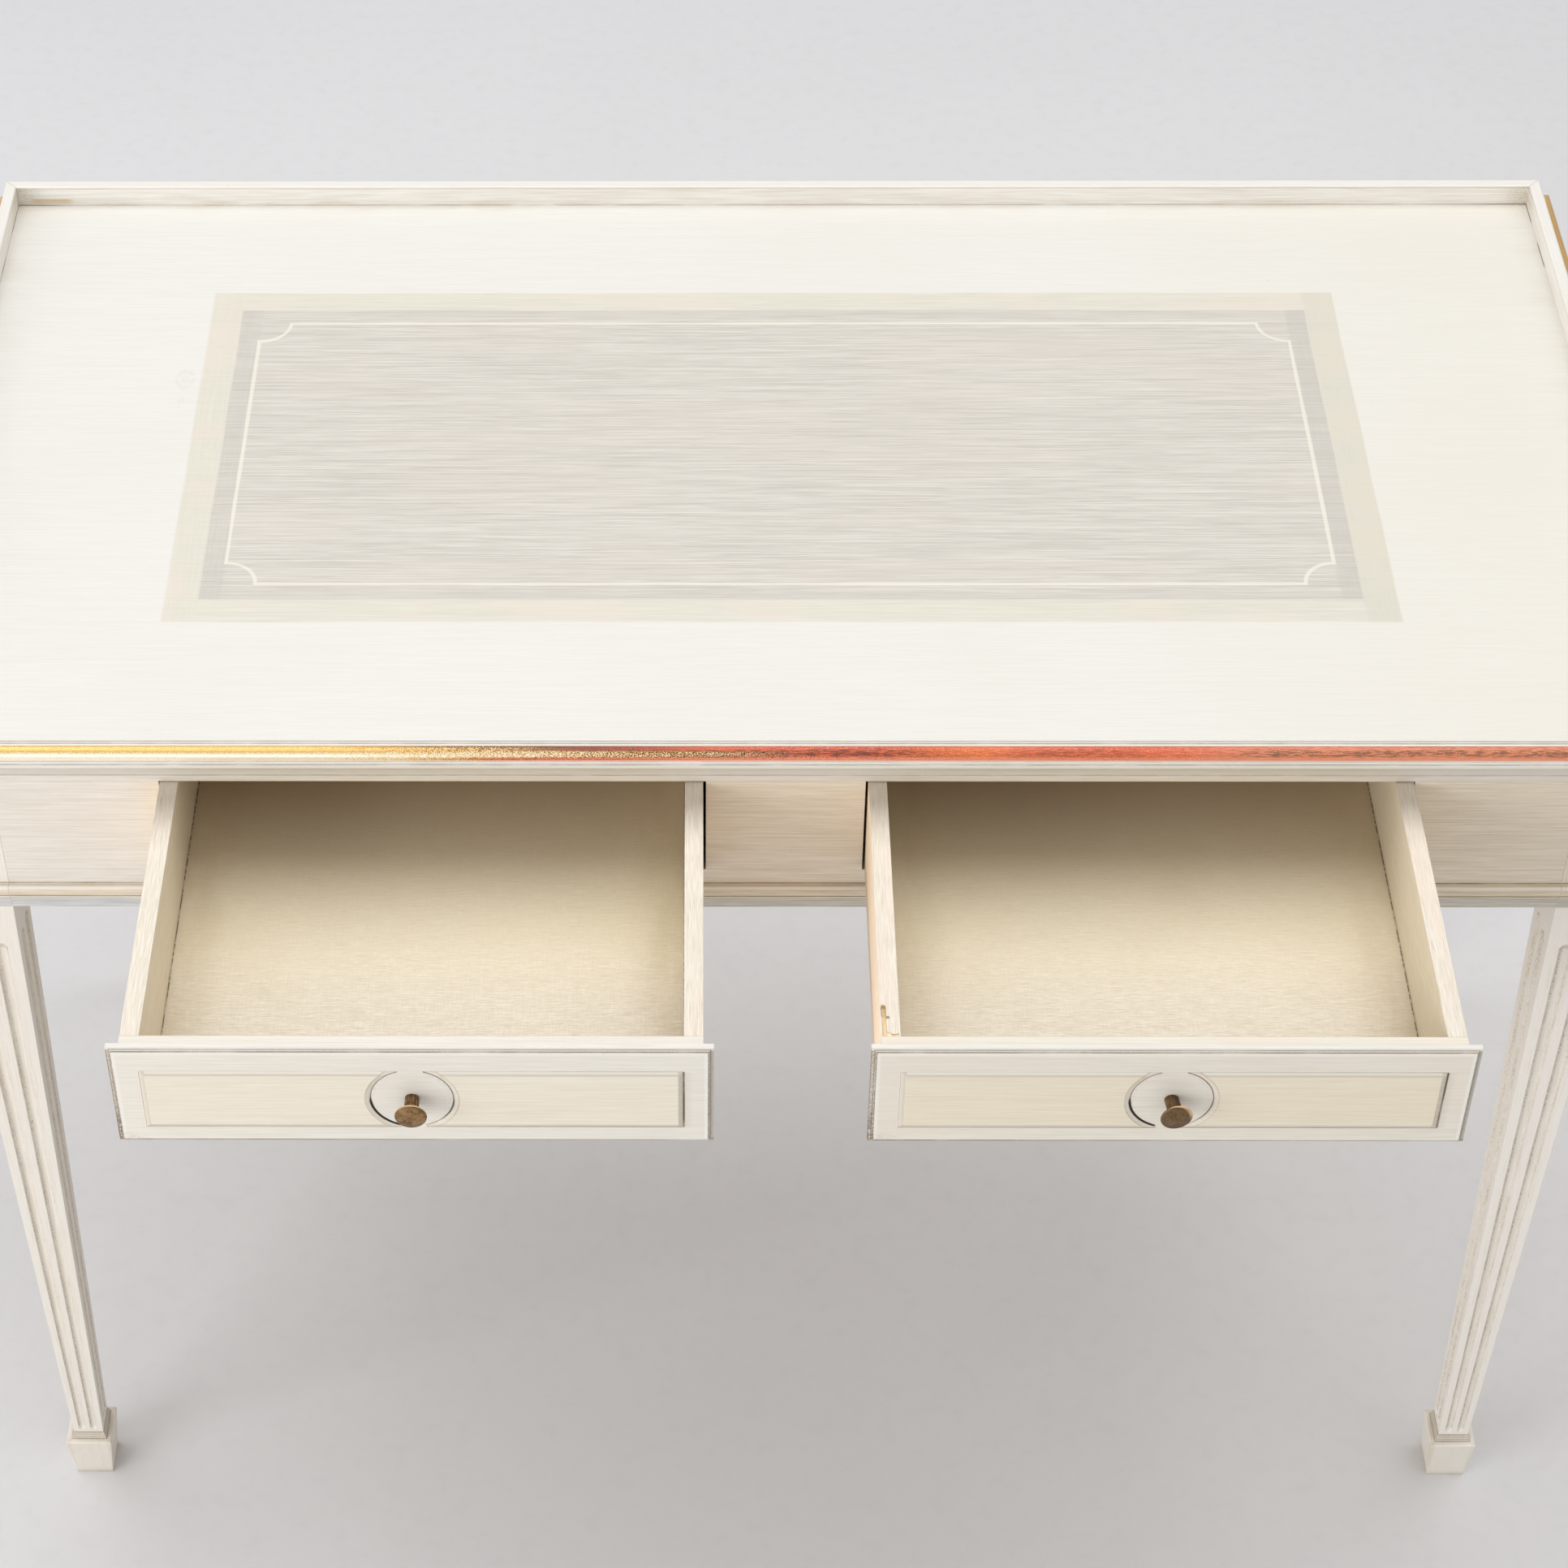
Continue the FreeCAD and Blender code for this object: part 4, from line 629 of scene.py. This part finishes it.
# ---------------------------------------------------------------------------
# drawer fronts
# ---------------------------------------------------------------------------
def front_material(name, sign, seed):
    g = Graph(name)
    ax = g.mul(g.x, float(sign))
    u = g.sub(g.x, sign * 211.35 * MM)                       # across the drawer, + to the sitter's right
    d = g.sub(g.y, FACE_Y)                                   # depth behind the face
    # the right drawer is painted warmer and a little darker, and its fields too, a painted shade
    if sign < 0:
        colour, s = paint_core(g, "x", seed, C(234, 229, 219), C(213, 205, 192), 0.55, 0.22, C(232, 221, 204))
    else:
        colour, s = paint_core(g, "x", seed, C(233, 227, 216), C(212, 203, 187), 0.55, 0.45, C(231, 219, 200))
    br = broken(g, seed, 34.0, 0.32, 0.62, 0.3)
    fine = g.noise(1250.0, (seed, 1, 9), 1.0, 0.6)
    cx, cz = g.sub(ax, DISC_X), g.sub(g.z, DISC_Z)
    cu = g.mul(cx, float(sign))
    r = g.length(cx, cz)
    # raised fields: plateau, sloping borders
    ul, ur = g.add(u, 151.35 * MM), g.sub(151.35 * MM, u)
    zt, zb = g.sub(696.2 * MM, g.z), g.sub(g.z, 649.6 * MM)
    rect = g.smaller(ul, ur, zt, zb)
    inside = g.ramp(rect, -0.0002, 0.0001)
    clear = g.mul(g.ramp(r, 0.0232, 0.0236), g.ramp(g.absolute(cx), 0.0068, 0.0072))      # away from the disc and its necks
    front_half = g.ramp(d, 0.0020, 0.0012)
    s3 = g.streaks("x", seed + 4.0)
    plate = g.ramp(d, -0.00088, -0.00096)
    field_c = g.mix(g.mul(s3, 0.6), C(236, 227, 211) if sign < 0 else C(234, 224, 203), C(221, 210, 189) if sign < 0 else C(219, 206, 180))
    # sloping borders in four tones: a painted light and shade, light along the top border and darkest on the right one,
    # with darker glaze where the top border meets the plateau
    slope = g.times(g.inv(plate), g.ramp(rect, 0.0034, 0.0031), inside, g.mul(front_half, clear))
    strip = g.mix(g.mul(s3, 0.6), C(219, 211, 197), C(202, 192, 175))
    top = g.ramp(zt, 0.0035, 0.0032)
    top_light_and_glaze = g.mix(g.ramp(zt, 0.0012, 0.0022), C(232, 226, 215), C(208, 197, 179))
    strip = g.mix(g.mul(top, 0.85), strip, top_light_and_glaze)
    strip = g.mix(g.mul(g.ramp(ul, 0.0035, 0.0032), 0.9), strip, g.mix(g.ramp(ul, 0.0014, 0.0020), C(216, 207, 194), C(209, 198, 182)))
    strip = g.mix(g.mul(g.ramp(ur, 0.0035, 0.0032), 0.85), strip, g.mix(g.mul(s3, 0.7), C(213, 203, 186), C(190, 178, 158)))
    colour = g.mix(plate, colour, field_c)
    colour = g.mix(slope, colour, strip)
    ring = g.times(g.between(r, 0.0236, 0.0263, 0.0001), g.inv(plate), clear, g.mul(front_half, inside))
    colour = g.mix(g.mul(ring, 0.9), colour, g.mix(g.mul(s3, 0.6), C(229, 219, 203), C(212, 201, 184)))
    rim_line = g.times(g.ramp(g.absolute(g.sub(r, 0.0263)), 0.0005, 0.0001), clear, g.mul(front_half, inside), br)
    colour = g.mix(g.mul(rim_line, 0.50), colour, C(150, 130, 102))
    # thin dark line where a border meets the frame, strongest at its right end
    ar = g.absolute(rect)
    hard = g.ramp(u, -0.06, 0.15, 0.04, 0.60)
    hard = g.mul(hard, g.ramp(zb, 0.0006, 0.0012, 0.25, 1.0))
    colour = g.mix(g.times(g.ramp(ar, 0.0005, 0.0001), br, hard, g.mul(front_half, clear)), colour, C(112, 92, 66))
    tall = g.mul(g.between(g.z, 649.8 * MM, 696.0 * MM, 0.0004), front_half)
    colour = g.mix(g.times(g.ramp(g.absolute(g.sub(ur, 0.0001)), 0.0009, 0.0004), tall, br, 0.8), colour, C(98, 76, 52))
    # painted light: the crease at the left edge of the field is painted pale to lift its shade
    colour = g.mix(g.times(g.ramp(g.absolute(ul), 0.0008, 0.0003), tall, 0.7), colour, C(246, 236, 220))
    # painted shadow cast by the raised field on the frame to its right
    colour = g.mix(g.times(g.ramp(ur, -0.0060, -0.0004), g.ramp(ur, 0.0002, -0.0002), tall, 0.16), colour, C(150, 138, 112))
    # dirt and painted shade in the crease round the disc, nearly black low on the left and on the right
    low_left = g.ramp(g.m("DIVIDE", g.sub(g.mul(cu, -0.79864), g.mul(cz, 0.60182)), r), 0.66, 0.88)
    low_right = g.ramp(g.m("DIVIDE", g.sub(g.mul(cu, 0.90631), g.mul(cz, 0.42262)), r), 0.86, 0.97)
    heavy = g.maxi(low_left, g.mul(low_right, 0.55))
    groove = g.mul(g.ramp(g.absolute(cx), 0.0070, 0.0078), front_half)
    reach = g.ramp(heavy, 0.0, 1.0, 0.00008, 0.00060)
    off = g.absolute(g.sub(r, 0.0233))
    crease = g.times(g.ramp(g.sub(off, reach), 0.00040, 0.0), groove, g.ramp(heavy, 0.0, 1.0, 0.40, 1.0), g.maxi(br, heavy))
    colour = g.mix(g.mul(crease, 0.95), colour, g.mix(heavy, C(116, 92, 62), C(42, 30, 20)))
    halo = g.times(g.band(r, 0.0219, 0.0007, 0.0012), g.ramp(fine, 0.58, 0.66), groove, g.mul(g.ramp(d, 0.0004, 0.0001), 0.25))
    colour = g.mix(halo, colour, DIRT_AND_SHADE)
    # lip round the face: dark step, grey speckled hollow, pale outer edge that is partly a painted highlight
    face_d = g.maxi(g.sub(g.absolute(g.sub(ax, 211.5 * MM)), 164.9 * MM), g.sub(g.absolute(g.sub(g.z, 674.75 * MM)), 36.45 * MM))
    lip = g.mul(g.ramp(face_d, -0.0001, 0.0001), g.ramp(g.y, (-194.8 - ORIGIN) * MM, (-195.2 - ORIGIN) * MM))
    upper = g.ramp(g.z, 0.7095, 0.7112)
    lip_c = g.mix(g.mul(g.ramp(fine, 0.40, 0.62), g.lerp(upper, 0.75, 0.4)), C(210, 204, 194), g.mix(upper, C(148, 130, 104), C(180, 170, 154)))
    colour = g.mix(g.mul(lip, 0.95), colour, lip_c)
    outer_edge = g.mul(g.ramp(d, 0.00225, 0.00245), lip)
    colour = g.mix(g.mul(outer_edge, 0.85), colour, g.mix(g.mul(s, 0.5), C(232, 229, 222), C(212, 206, 196)))
    colour = g.mix(g.times(g.ramp(d, 0.00205, 0.00215), lip, 0.75), colour, g.mix(g.mul(s, 0.6), C(228, 224, 216), C(208, 202, 192)))
    colour = g.mix(g.times(g.band(d, 0.00198, 0.00006, 0.00016), lip, g.ramp(br, 0.3, 1.0, 0.5, 1.0), 0.6), colour, C(112, 96, 76))
    arris_line = g.mul(g.band(d, 0.0024, 0.0001, 0.0003), lip)
    colour = g.mix(g.mul(arris_line, 0.5), colour, WORN_WHITE_AND_HIGHLIGHT)
    step = g.mul(g.ramp(g.absolute(face_d), 0.0005, 0.0001), g.between(d, 0.00055, 0.00135, 0.0002))
    colour = g.mix(g.times(step, g.ramp(br, 0.3, 1.0, 0.60, 1.0), 0.75), colour, C(92, 74, 54))
    lower_lip = g.ramp(g.z, 0.7119, 0.7113)
    at_left = g.times(lip, lower_lip, g.ramp(u, -0.1640, -0.1648), g.ramp(fine, 0.36, 0.56, 0.25, 1.0))
    colour = g.mix(g.mul(at_left, 0.62), colour, C(142, 124, 100))
    far_left = g.times(g.ramp(u, -0.1672, -0.1679), lip, lower_lip, 0.55)
    colour = g.mix(far_left, colour, C(98, 80, 58))
    at_right = g.times(lip, lower_lip, g.ramp(u, 0.1652, 0.1660), g.ramp(d, 0.0030, 0.0022))
    colour = g.mix(g.mul(at_right, 0.55), colour, g.mix(g.mul(g.ramp(fine, 0.40, 0.60), 0.5), C(164, 152, 133), C(132, 118, 98)))
    low_corner = g.times(lip, g.ramp(g.length(g.add(u, 0.165), g.sub(g.z, 0.640)), 0.034, 0.004), g.ramp(fine, 0.42, 0.54))
    colour = g.mix(g.mul(low_corner, 0.8), colour, C(104, 82, 56))
    # glaze along the lower edge of the lip
    low_edge = g.times(lip, g.ramp(g.z, 0.6384, 0.6381), g.ramp(fine, 0.36, 0.60, 0.70, 1.0))
    colour = g.mix(g.mul(low_edge, 0.72), colour, C(146, 131, 108))
    # rubbed white edge of the face, partly a painted highlight
    on_face = g.ramp(d, 0.0003, 0.0001)
    edge = g.times(g.ramp(face_d, -0.0026, -0.0012), on_face, g.ramp(face_d, 0.0002, 0.0))
    colour = g.mix(g.mul(edge, 0.6), colour, WORN_WHITE_AND_HIGHLIGHT)
    # brown line under the face, and dirt at its lower left corner
    under = g.times(g.ramp(g.z, 0.6399, 0.6388), on_face, g.ramp(u, 0.10, -0.15, 0.62, 0.85))
    colour = g.mix(g.mul(under, g.ramp(br, 0.2, 1.0, 0.70, 1.0)), colour, C(126, 108, 82))
    spot = g.times(g.ramp(g.length(g.add(u, 0.162), g.mul(g.sub(g.z, 0.6395), 2.0)), 0.015, 0.003), on_face, g.ramp(fine, 0.52, 0.62))
    colour = g.mix(g.mul(spot, 0.40), colour, C(150, 128, 100))
    # inside of the front: thin wash on bare wood
    inner = g.ramp(d, 0.0136, 0.0139)
    sw = g.streaks("x", seed + 8.0, (8.0, 4.0, 2.0), (1100.0, 420.0, 80.0))
    colour = g.mix(inner, colour, g.mix(g.mul(sw, 0.6), C(228, 214, 190), C(204, 186, 154)))
    colour = hollow_dirt_and_shade(g, colour, seed, 0.004, 0.12)
    colour = g.mix(g.mul(g.specks(70.0, 0.0008, 0.04, seed), 0.5), colour, C(140, 120, 94))
    rough = g.ramp(s, 0.0, 1.0, 0.40, 0.52, smooth=False)
    return g.finish(colour, rough, height=s, bump=0.12, edge=0.0003, specular=0.4)


# ---------------------------------------------------------------------------
# drawer boxes
# ---------------------------------------------------------------------------
def side_material(name, out_sign, seed):
    """out_sign: the X direction in which the outer, bare face of the side looks."""
    g = Graph(name)
    nx, ny, nz = g.true_normal()
    s = g.streaks("y", seed, (60.0, 24.0, 5.0), (1700.0, 800.0, 120.0), (0.62, 0.26, 0.12))
    inner = g.mix(g.mul(s, 0.6), C(232, 221, 198), C(210, 196, 168))
    top = g.mix(s, C(234, 226, 213), C(217, 207, 192))
    pores = g.ramp(g.noise((1900.0, 60.0, 300.0), (seed, 2, 2), 1.0, 0.6), 0.55, 0.66)
    top = g.mix(g.mul(pores, 0.28), top, C(178, 165, 142))
    blush = g.ramp(g.noise((60.0, 9.0, 1.0), (seed, 5, 2), 2.0), 0.45, 0.62)
    top = g.mix(g.mul(blush, 0.30), top, C(234, 212, 194))
    bare = g.mix(s, C(255, 237, 213), C(248, 222, 191))
    up = g.ramp(nz, 0.5, 0.8)
    outer = g.ramp(g.mul(nx, float(out_sign)), 0.5, 0.8)
    colour = g.mix(outer, inner, bare)
    colour = g.mix(up, colour, top)
    if out_sign < 0:
        # splinter torn from the top edge of one side: bare yellowish wood
        torn = g.times(g.between(g.x, 0.0490, 0.0600, 0.0002), g.between(g.y, FACE_Y + 0.0135, FACE_Y + 0.0385, 0.0003), g.between(g.z, 0.700, 0.70995, 0.0001))
        torn = g.mul(torn, g.inv(g.maxi(outer, g.ramp(g.mul(nx, -1.0 * out_sign), 0.7, 0.9))))
        raw = g.mix(g.ramp(g.noise((900.0, 60.0, 900.0), (seed, 1, 4), 2.0), 0.35, 0.65), C(244, 228, 190), C(222, 194, 146))
        colour = g.mix(g.mul(torn, 0.9), colour, raw)
    low = g.mul(g.ramp(g.z, 0.6535, 0.6503), g.inv(up))
    colour = g.mix(g.mul(low, 0.4), colour, C(130, 112, 80))
    colour = hollow_dirt_and_shade(g, colour, seed, 0.012, 0.30, C(128, 110, 78))
    colour = g.mix(g.mul(g.specks(50.0, 0.0010, 0.06, seed), 0.6), colour, C(110, 92, 66))
    rough = g.ramp(s, 0.0, 1.0, 0.5, 0.62, smooth=False)
    return g.finish(colour, rough, height=s, bump=0.14, edge=0.0005, specular=0.35)


def bottom_material(name, sign, seed):
    g = Graph(name)
    ax = g.mul(g.x, float(sign))
    s = g.streaks("x", seed, (70.0, 200.0, 6.0), (2200.0, 2000.0, 160.0), (0.46, 0.48, 0.06), 0.34, 0.66)
    weave = g.streaks("y", seed + 2.0, (90.0, 220.0, 6.0), (2000.0, 1700.0, 120.0), (0.50, 0.44, 0.06), 0.35, 0.65)
    colour = g.mix(s, C(245, 236, 223), C(207, 196, 176))
    colour = g.mix(g.mul(weave, 0.42), colour, C(207, 196, 175))
    inward = g.sub(g.y, FACE_Y)
    # painted light and shade along the depth: yellower from behind the front, browner and darker towards the back
    colour = g.mix(g.ramp(inward, 0.06, 0.17, 0.0, 0.55), colour, C(238, 223, 188))
    colour = g.mix(g.ramp(inward, 0.16, 0.30, 0.0, 0.65), colour, C(214, 190, 154))
    wall = g.mini(g.sub(ax, 60.1 * MM), g.sub(362.4 * MM, ax))
    wisp = g.noise((30.0, 9.0, 1.0), (seed, 6, 2), 4.0, 0.65)
    shade = g.mul(g.ramp(wall, 0.040, 0.0), g.ramp(wisp, 0.25, 0.75))
    colour = g.mix(g.mul(shade, 0.38), colour, C(186, 168, 130))
    if sign > 0:
        # painted shade, heavier along the right wall of this drawer
        right_wall_shade = g.mul(g.ramp(g.sub(362.4 * MM, ax), 0.045, 0.0), g.ramp(inward, 0.16, 0.06))
        colour = g.mix(g.times(right_wall_shade, g.ramp(wisp, 0.20, 0.70, 0.5, 1.0), 0.42), colour, C(178, 156, 116))
    dots = g.ramp(g.noise((40.0, 330.0, 40.0), (seed, 2, 1), 2.0), 0.40, 0.54, 0.2, 0.95)
    colour = g.mix(g.times(g.ramp(wall, 0.0009, 0.0003), dots, 0.9), colour, C(84, 64, 38))
    blot = g.ramp(g.noise((10.0, 8.0, 1.0), (seed, 3, 9), 3.0), 0.5, 0.75)
    colour = g.mix(g.mul(blot, 0.12), colour, C(200, 184, 148))
    colour = g.mix(g.mul(g.specks(36.0, 0.0011, 0.08, seed), 0.75), colour, C(86, 70, 48))
    colour = hollow_dirt_and_shade(g, colour, seed, 0.012, 0.25, C(126, 106, 72))
    rough = g.ramp(s, 0.0, 1.0, 0.5, 0.62, smooth=False)
    return g.finish(colour, rough, height=g.add(s, weave), bump=0.12, specular=0.35)


def wood(name, axis, seed, light, dark):
    g = Graph(name)
    s = g.streaks(axis, seed, (6.6, 3.0, 1.4), (900.0, 260.0, 60.0), (0.25, 0.4, 0.35))
    rings = g.ramp(g.noise({"x": (1.2, 30.0, 30.0), "y": (30.0, 1.2, 30.0), "z": (30.0, 30.0, 1.2)}[axis], (seed, 1, 1), 3.0, 0.5, 0.6), 0.35, 0.65)
    colour = g.mix(s, light, dark)
    colour = g.mix(g.mul(rings, 0.35), colour, C(196, 150, 96))
    colour = hollow_dirt_and_shade(g, colour, seed, 0.01, 0.5)
    rough = g.ramp(s, 0.0, 1.0, 0.55, 0.7, smooth=False)
    return g.finish(colour, rough, height=s, bump=0.2, specular=0.3)


# ---------------------------------------------------------------------------
# metals
# ---------------------------------------------------------------------------
def brass_material():
    g = Graph("aged_brass")
    blot = g.ramp(g.noise(260.0, (3, 1, 2), 4.0, 0.65), 0.35, 0.68)
    fine = g.noise(1300.0, (8, 1, 2), 2.0, 0.6)
    colour = g.mix(blot, C(160, 127, 86), C(104, 79, 52))
    colour = g.mix(g.mul(g.ramp(fine, 0.48, 0.64), 0.40), colour, C(182, 144, 96))
    colour = g.mix(g.mul(g.ramp(fine, 0.46, 0.36), 0.45), colour, C(78, 56, 36))
    # the one on the right is duller
    colour = g.mix(g.mul(g.ramp(g.x, -0.05, 0.05), 0.62), colour, C(92, 72, 50))
    cx, cz = g.sub(g.absolute(g.x), DISC_X), g.sub(g.z, DISC_Z)
    r = g.length(cx, cz)
    out = g.sub(FACE_Y, g.y)
    head = g.ramp(out, 0.0105, 0.0118)
    low = g.ramp(cz, -0.0030, -0.0085)
    colour = g.mix(g.mul(low, 0.40), colour, C(70, 50, 34))
    # stem: lighter and darker lines along it
    lines = g.noise((1500.0, 60.0, 1500.0), (2, 5, 1), 2.0)
    colour = g.mix(g.times(g.inv(head), g.ramp(lines, 0.42, 0.58), 0.7), colour, C(62, 42, 25))
    colour = g.mix(g.mul(g.ramp(g.cavity(0.006), 0.2, 0.9), 0.55), colour, C(58, 42, 28))
    # painted shade on the flank of the head, with a painted highlight along its upper rim
    flank = g.mul(g.ramp(r, 0.0081, 0.0085), head)
    colour = g.mix(g.mul(flank, 0.6), colour, C(104, 76, 46))
    rim = g.times(flank, g.ramp(out, 0.0138, 0.0130), g.ramp(cz, -0.003, 0.004))
    colour = g.mix(g.mul(rim, 0.85), colour, C(240, 206, 160))
    rough = g.lerp(blot, 0.36, 0.52)
    return g.finish(colour, rough, 0.7, height=fine, bump=0.15, edge=0.0003)


def steel_material():
    g = Graph("steel")
    fine = g.noise(900.0, (4, 4, 4), 3.0, 0.6)
    colour = g.mix(fine, C(150, 148, 142), C(186, 184, 178))
    rough = g.ramp(fine, 0.3, 0.7, 0.35, 0.55)
    return g.finish(colour, rough, 0.9, height=fine, bump=0.1)


TOP = top_material()
GAL_X = gallery_material("gallery_x", "x", 3.0)
GAL_Y = gallery_material("gallery_y", "y", 6.0)
EDGE_X = moulding_material("moulding_x", "x", 1.0)
EDGE_Y = moulding_material("moulding_y", "y", 4.0)
FRONT_L = front_material("front_left", -1, 31.0)
FRONT_R = front_material("front_right", 1, 37.0)
OUT_L = side_material("side_out_left", -1, 41.0)
OUT_R = side_material("side_out_right", 1, 43.0)
BOTTOM_L = bottom_material("bottom_left", -1, 47.0)
BOTTOM_R = bottom_material("bottom_right", 1, 53.0)
BACK_W = wood("drawer_back_wood", "x", 59.0, C(224, 210, 182), C(200, 182, 146))
RAW_X = wood("raw_x", "x", 61.0, C(226, 196, 150), C(202, 164, 114))
RAW_Y = wood("raw_y", "y", 67.0, C(226, 196, 150), C(202, 164, 114))
RAW_Z = wood("raw_z", "z", 71.0, C(226, 196, 150), C(202, 164, 114))
BRASS = brass_material()
STEEL = steel_material()


def chosen(n):
    if n == "top_panel":
        return TOP, "painted_top"
    if n.startswith("gallery"):
        return (GAL_X if n.endswith("back") else GAL_Y), "painted_wood"
    if n.startswith("edge_moulding"):
        return (EDGE_X if n.endswith(("front", "back")) else EDGE_Y), "gilt_moulding"
    if n.startswith(("leg", "foot")):
        return PAINT_Z, "painted_wood"
    if n in ("apron_left", "apron_right"):
        return PAINT_Y, "painted_wood"
    if n.startswith(("front_", "apron")):
        return PAINT_X, "painted_wood"
    if n.startswith(("runner", "kicker")):
        return RAW_Y, "raw_wood"
    if n.startswith("corner_block"):
        return RAW_Z, "raw_wood"
    if n == "top_screws":
        return STEEL, "steel"
    if n.endswith("knob"):
        return BRASS, "aged_brass"
    if n.endswith("drawer_front"):
        return (FRONT_L if n.startswith("left") else FRONT_R), "painted_wood"
    if n.endswith("side_left"):
        return OUT_L, "drawer_wood"
    if n.endswith("side_right"):
        return OUT_R, "drawer_wood"
    if n.endswith("bottom"):
        return (BOTTOM_L if n.startswith("left") else BOTTOM_R), "drawer_wood"
    return BACK_W, "drawer_wood"


for n, o in NODES.items():
    mat, slot = chosen(n)
    o.data.materials.clear()
    o.data.materials.append(mat)

# ---------------------------------------------------------------------------
# floor
# ---------------------------------------------------------------------------
me = bpy.data.meshes.new("floor")
me.from_pydata([(-14, -10, 0), (14, -10, 0), (14, 18, 0), (-14, 18, 0)], [], [(0, 1, 2, 3)])
floor = bpy.data.objects.new("floor", me)
scene.collection.objects.link(floor)
g = Graph("floor_pale")
cloud = g.ramp(g.noise(1.6, (1, 2, 3), 4.0, 0.55), 0.35, 0.7)
grit = g.noise(60.0, (5, 1, 1), 4.0, 0.6)
colour = g.mix(cloud, C(217, 216, 217), C(222, 221, 222))
# painted light: the floor turns lighter towards the back
colour = g.mix(g.ramp(g.y, 0.4, 3.0), colour, C(227, 227, 229))
colour = g.mix(g.mul(g.ramp(grit, 0.45, 0.75), 0.15), colour, C(200, 200, 201))
me.materials.append(g.finish(colour, g.ramp(grit, 0.3, 0.7, 0.55, 0.7), specular=0.25))

# ---------------------------------------------------------------------------
# light
# ---------------------------------------------------------------------------
world = bpy.data.worlds.new("studio")
world.use_nodes = True
bg = world.node_tree.nodes.get("Background") or world.node_tree.nodes.new("ShaderNodeBackground")
bg.inputs["Color"].default_value = (0.98, 0.99, 1.0, 1.0)
bg.inputs["Strength"].default_value = 0.52
scene.world = world


def softbox(name, place, target, size, power, colour=(1.0, 1.0, 1.0)):
    ld = bpy.data.lights.new(name, "AREA")
    ld.shape = "RECTANGLE"
    ld.size, ld.size_y = size
    ld.energy = power
    ld.color = colour
    ob = bpy.data.objects.new(name, ld)
    ob.location = place
    ob.rotation_mode = "QUATERNION"
    ob.rotation_quaternion = (Vector(target) - Vector(place)).to_track_quat("-Z", "Y")
    scene.collection.objects.link(ob)
    return ob


softbox("overhead", (0.0, 0.3, 4.0), (0.0, 0.1, 0.0), (4.0, 3.0), 58.5)
softbox("overhead_left", (-2.2, 0.5, 3.5), (0.0, 0.1, 0.4), (2.5, 2.5), 24.5)
softbox("overhead_right", (2.2, 0.5, 3.5), (0.0, 0.1, 0.4), (2.5, 2.5), 20.5, (1.0, 0.975, 0.93))
softbox("key_left", (-2.6, -2.1, 1.3), (0.0, -0.2, 0.6), (2.0, 1.6), 46.0)
softbox("front_low", (-0.85, -3.4, 1.5), (-0.1, 0.0, 0.6), (1.3, 1.2), 10.0)
softbox("fill_right", (2.6, -1.9, 2.6), (0.0, -0.1, 0.6), (2.0, 2.0), 9.0)

# ---------------------------------------------------------------------------
# camera, from the fitted perspective of the photograph
# ---------------------------------------------------------------------------
yaw, pitch, roll = math.radians(-0.684), math.radians(43.45), math.radians(0.442)
fwd = Vector((math.sin(yaw) * math.cos(pitch), math.cos(yaw) * math.cos(pitch), -math.sin(pitch)))
right = Vector((math.cos(yaw), -math.sin(yaw), 0.0))
down = fwd.cross(right)
r = right * math.cos(roll) + down * math.sin(roll)
d = -right * math.sin(roll) + down * math.cos(roll)
cam_data = bpy.data.cameras.new("camera")
cam_data.sensor_fit = "HORIZONTAL"
cam_data.sensor_width = 36.0
cam_data.lens = 36.0 * 4347.63 / 1932.0
cam_data.shift_x = (966.0 - 823.87) / 1932.0
cam_data.shift_y = (942.99 - 966.0) / 1932.0
cam_data.clip_start, cam_data.clip_end = 0.05, 60.0
cam = bpy.data.objects.new("camera", cam_data)
cam.matrix_world = Matrix((
    (r.x, -d.x, -fwd.x, -0.0516),
    (r.y, -d.y, -fwd.y, -1.50181 - ORIGIN * MM),
    (r.z, -d.z, -fwd.z, 2.16289),
    (0, 0, 0, 1)))
scene.collection.objects.link(cam)
scene.camera = cam

# ---------------------------------------------------------------------------
# final update of the view layer
# ---------------------------------------------------------------------------
bpy.context.view_layer.update()
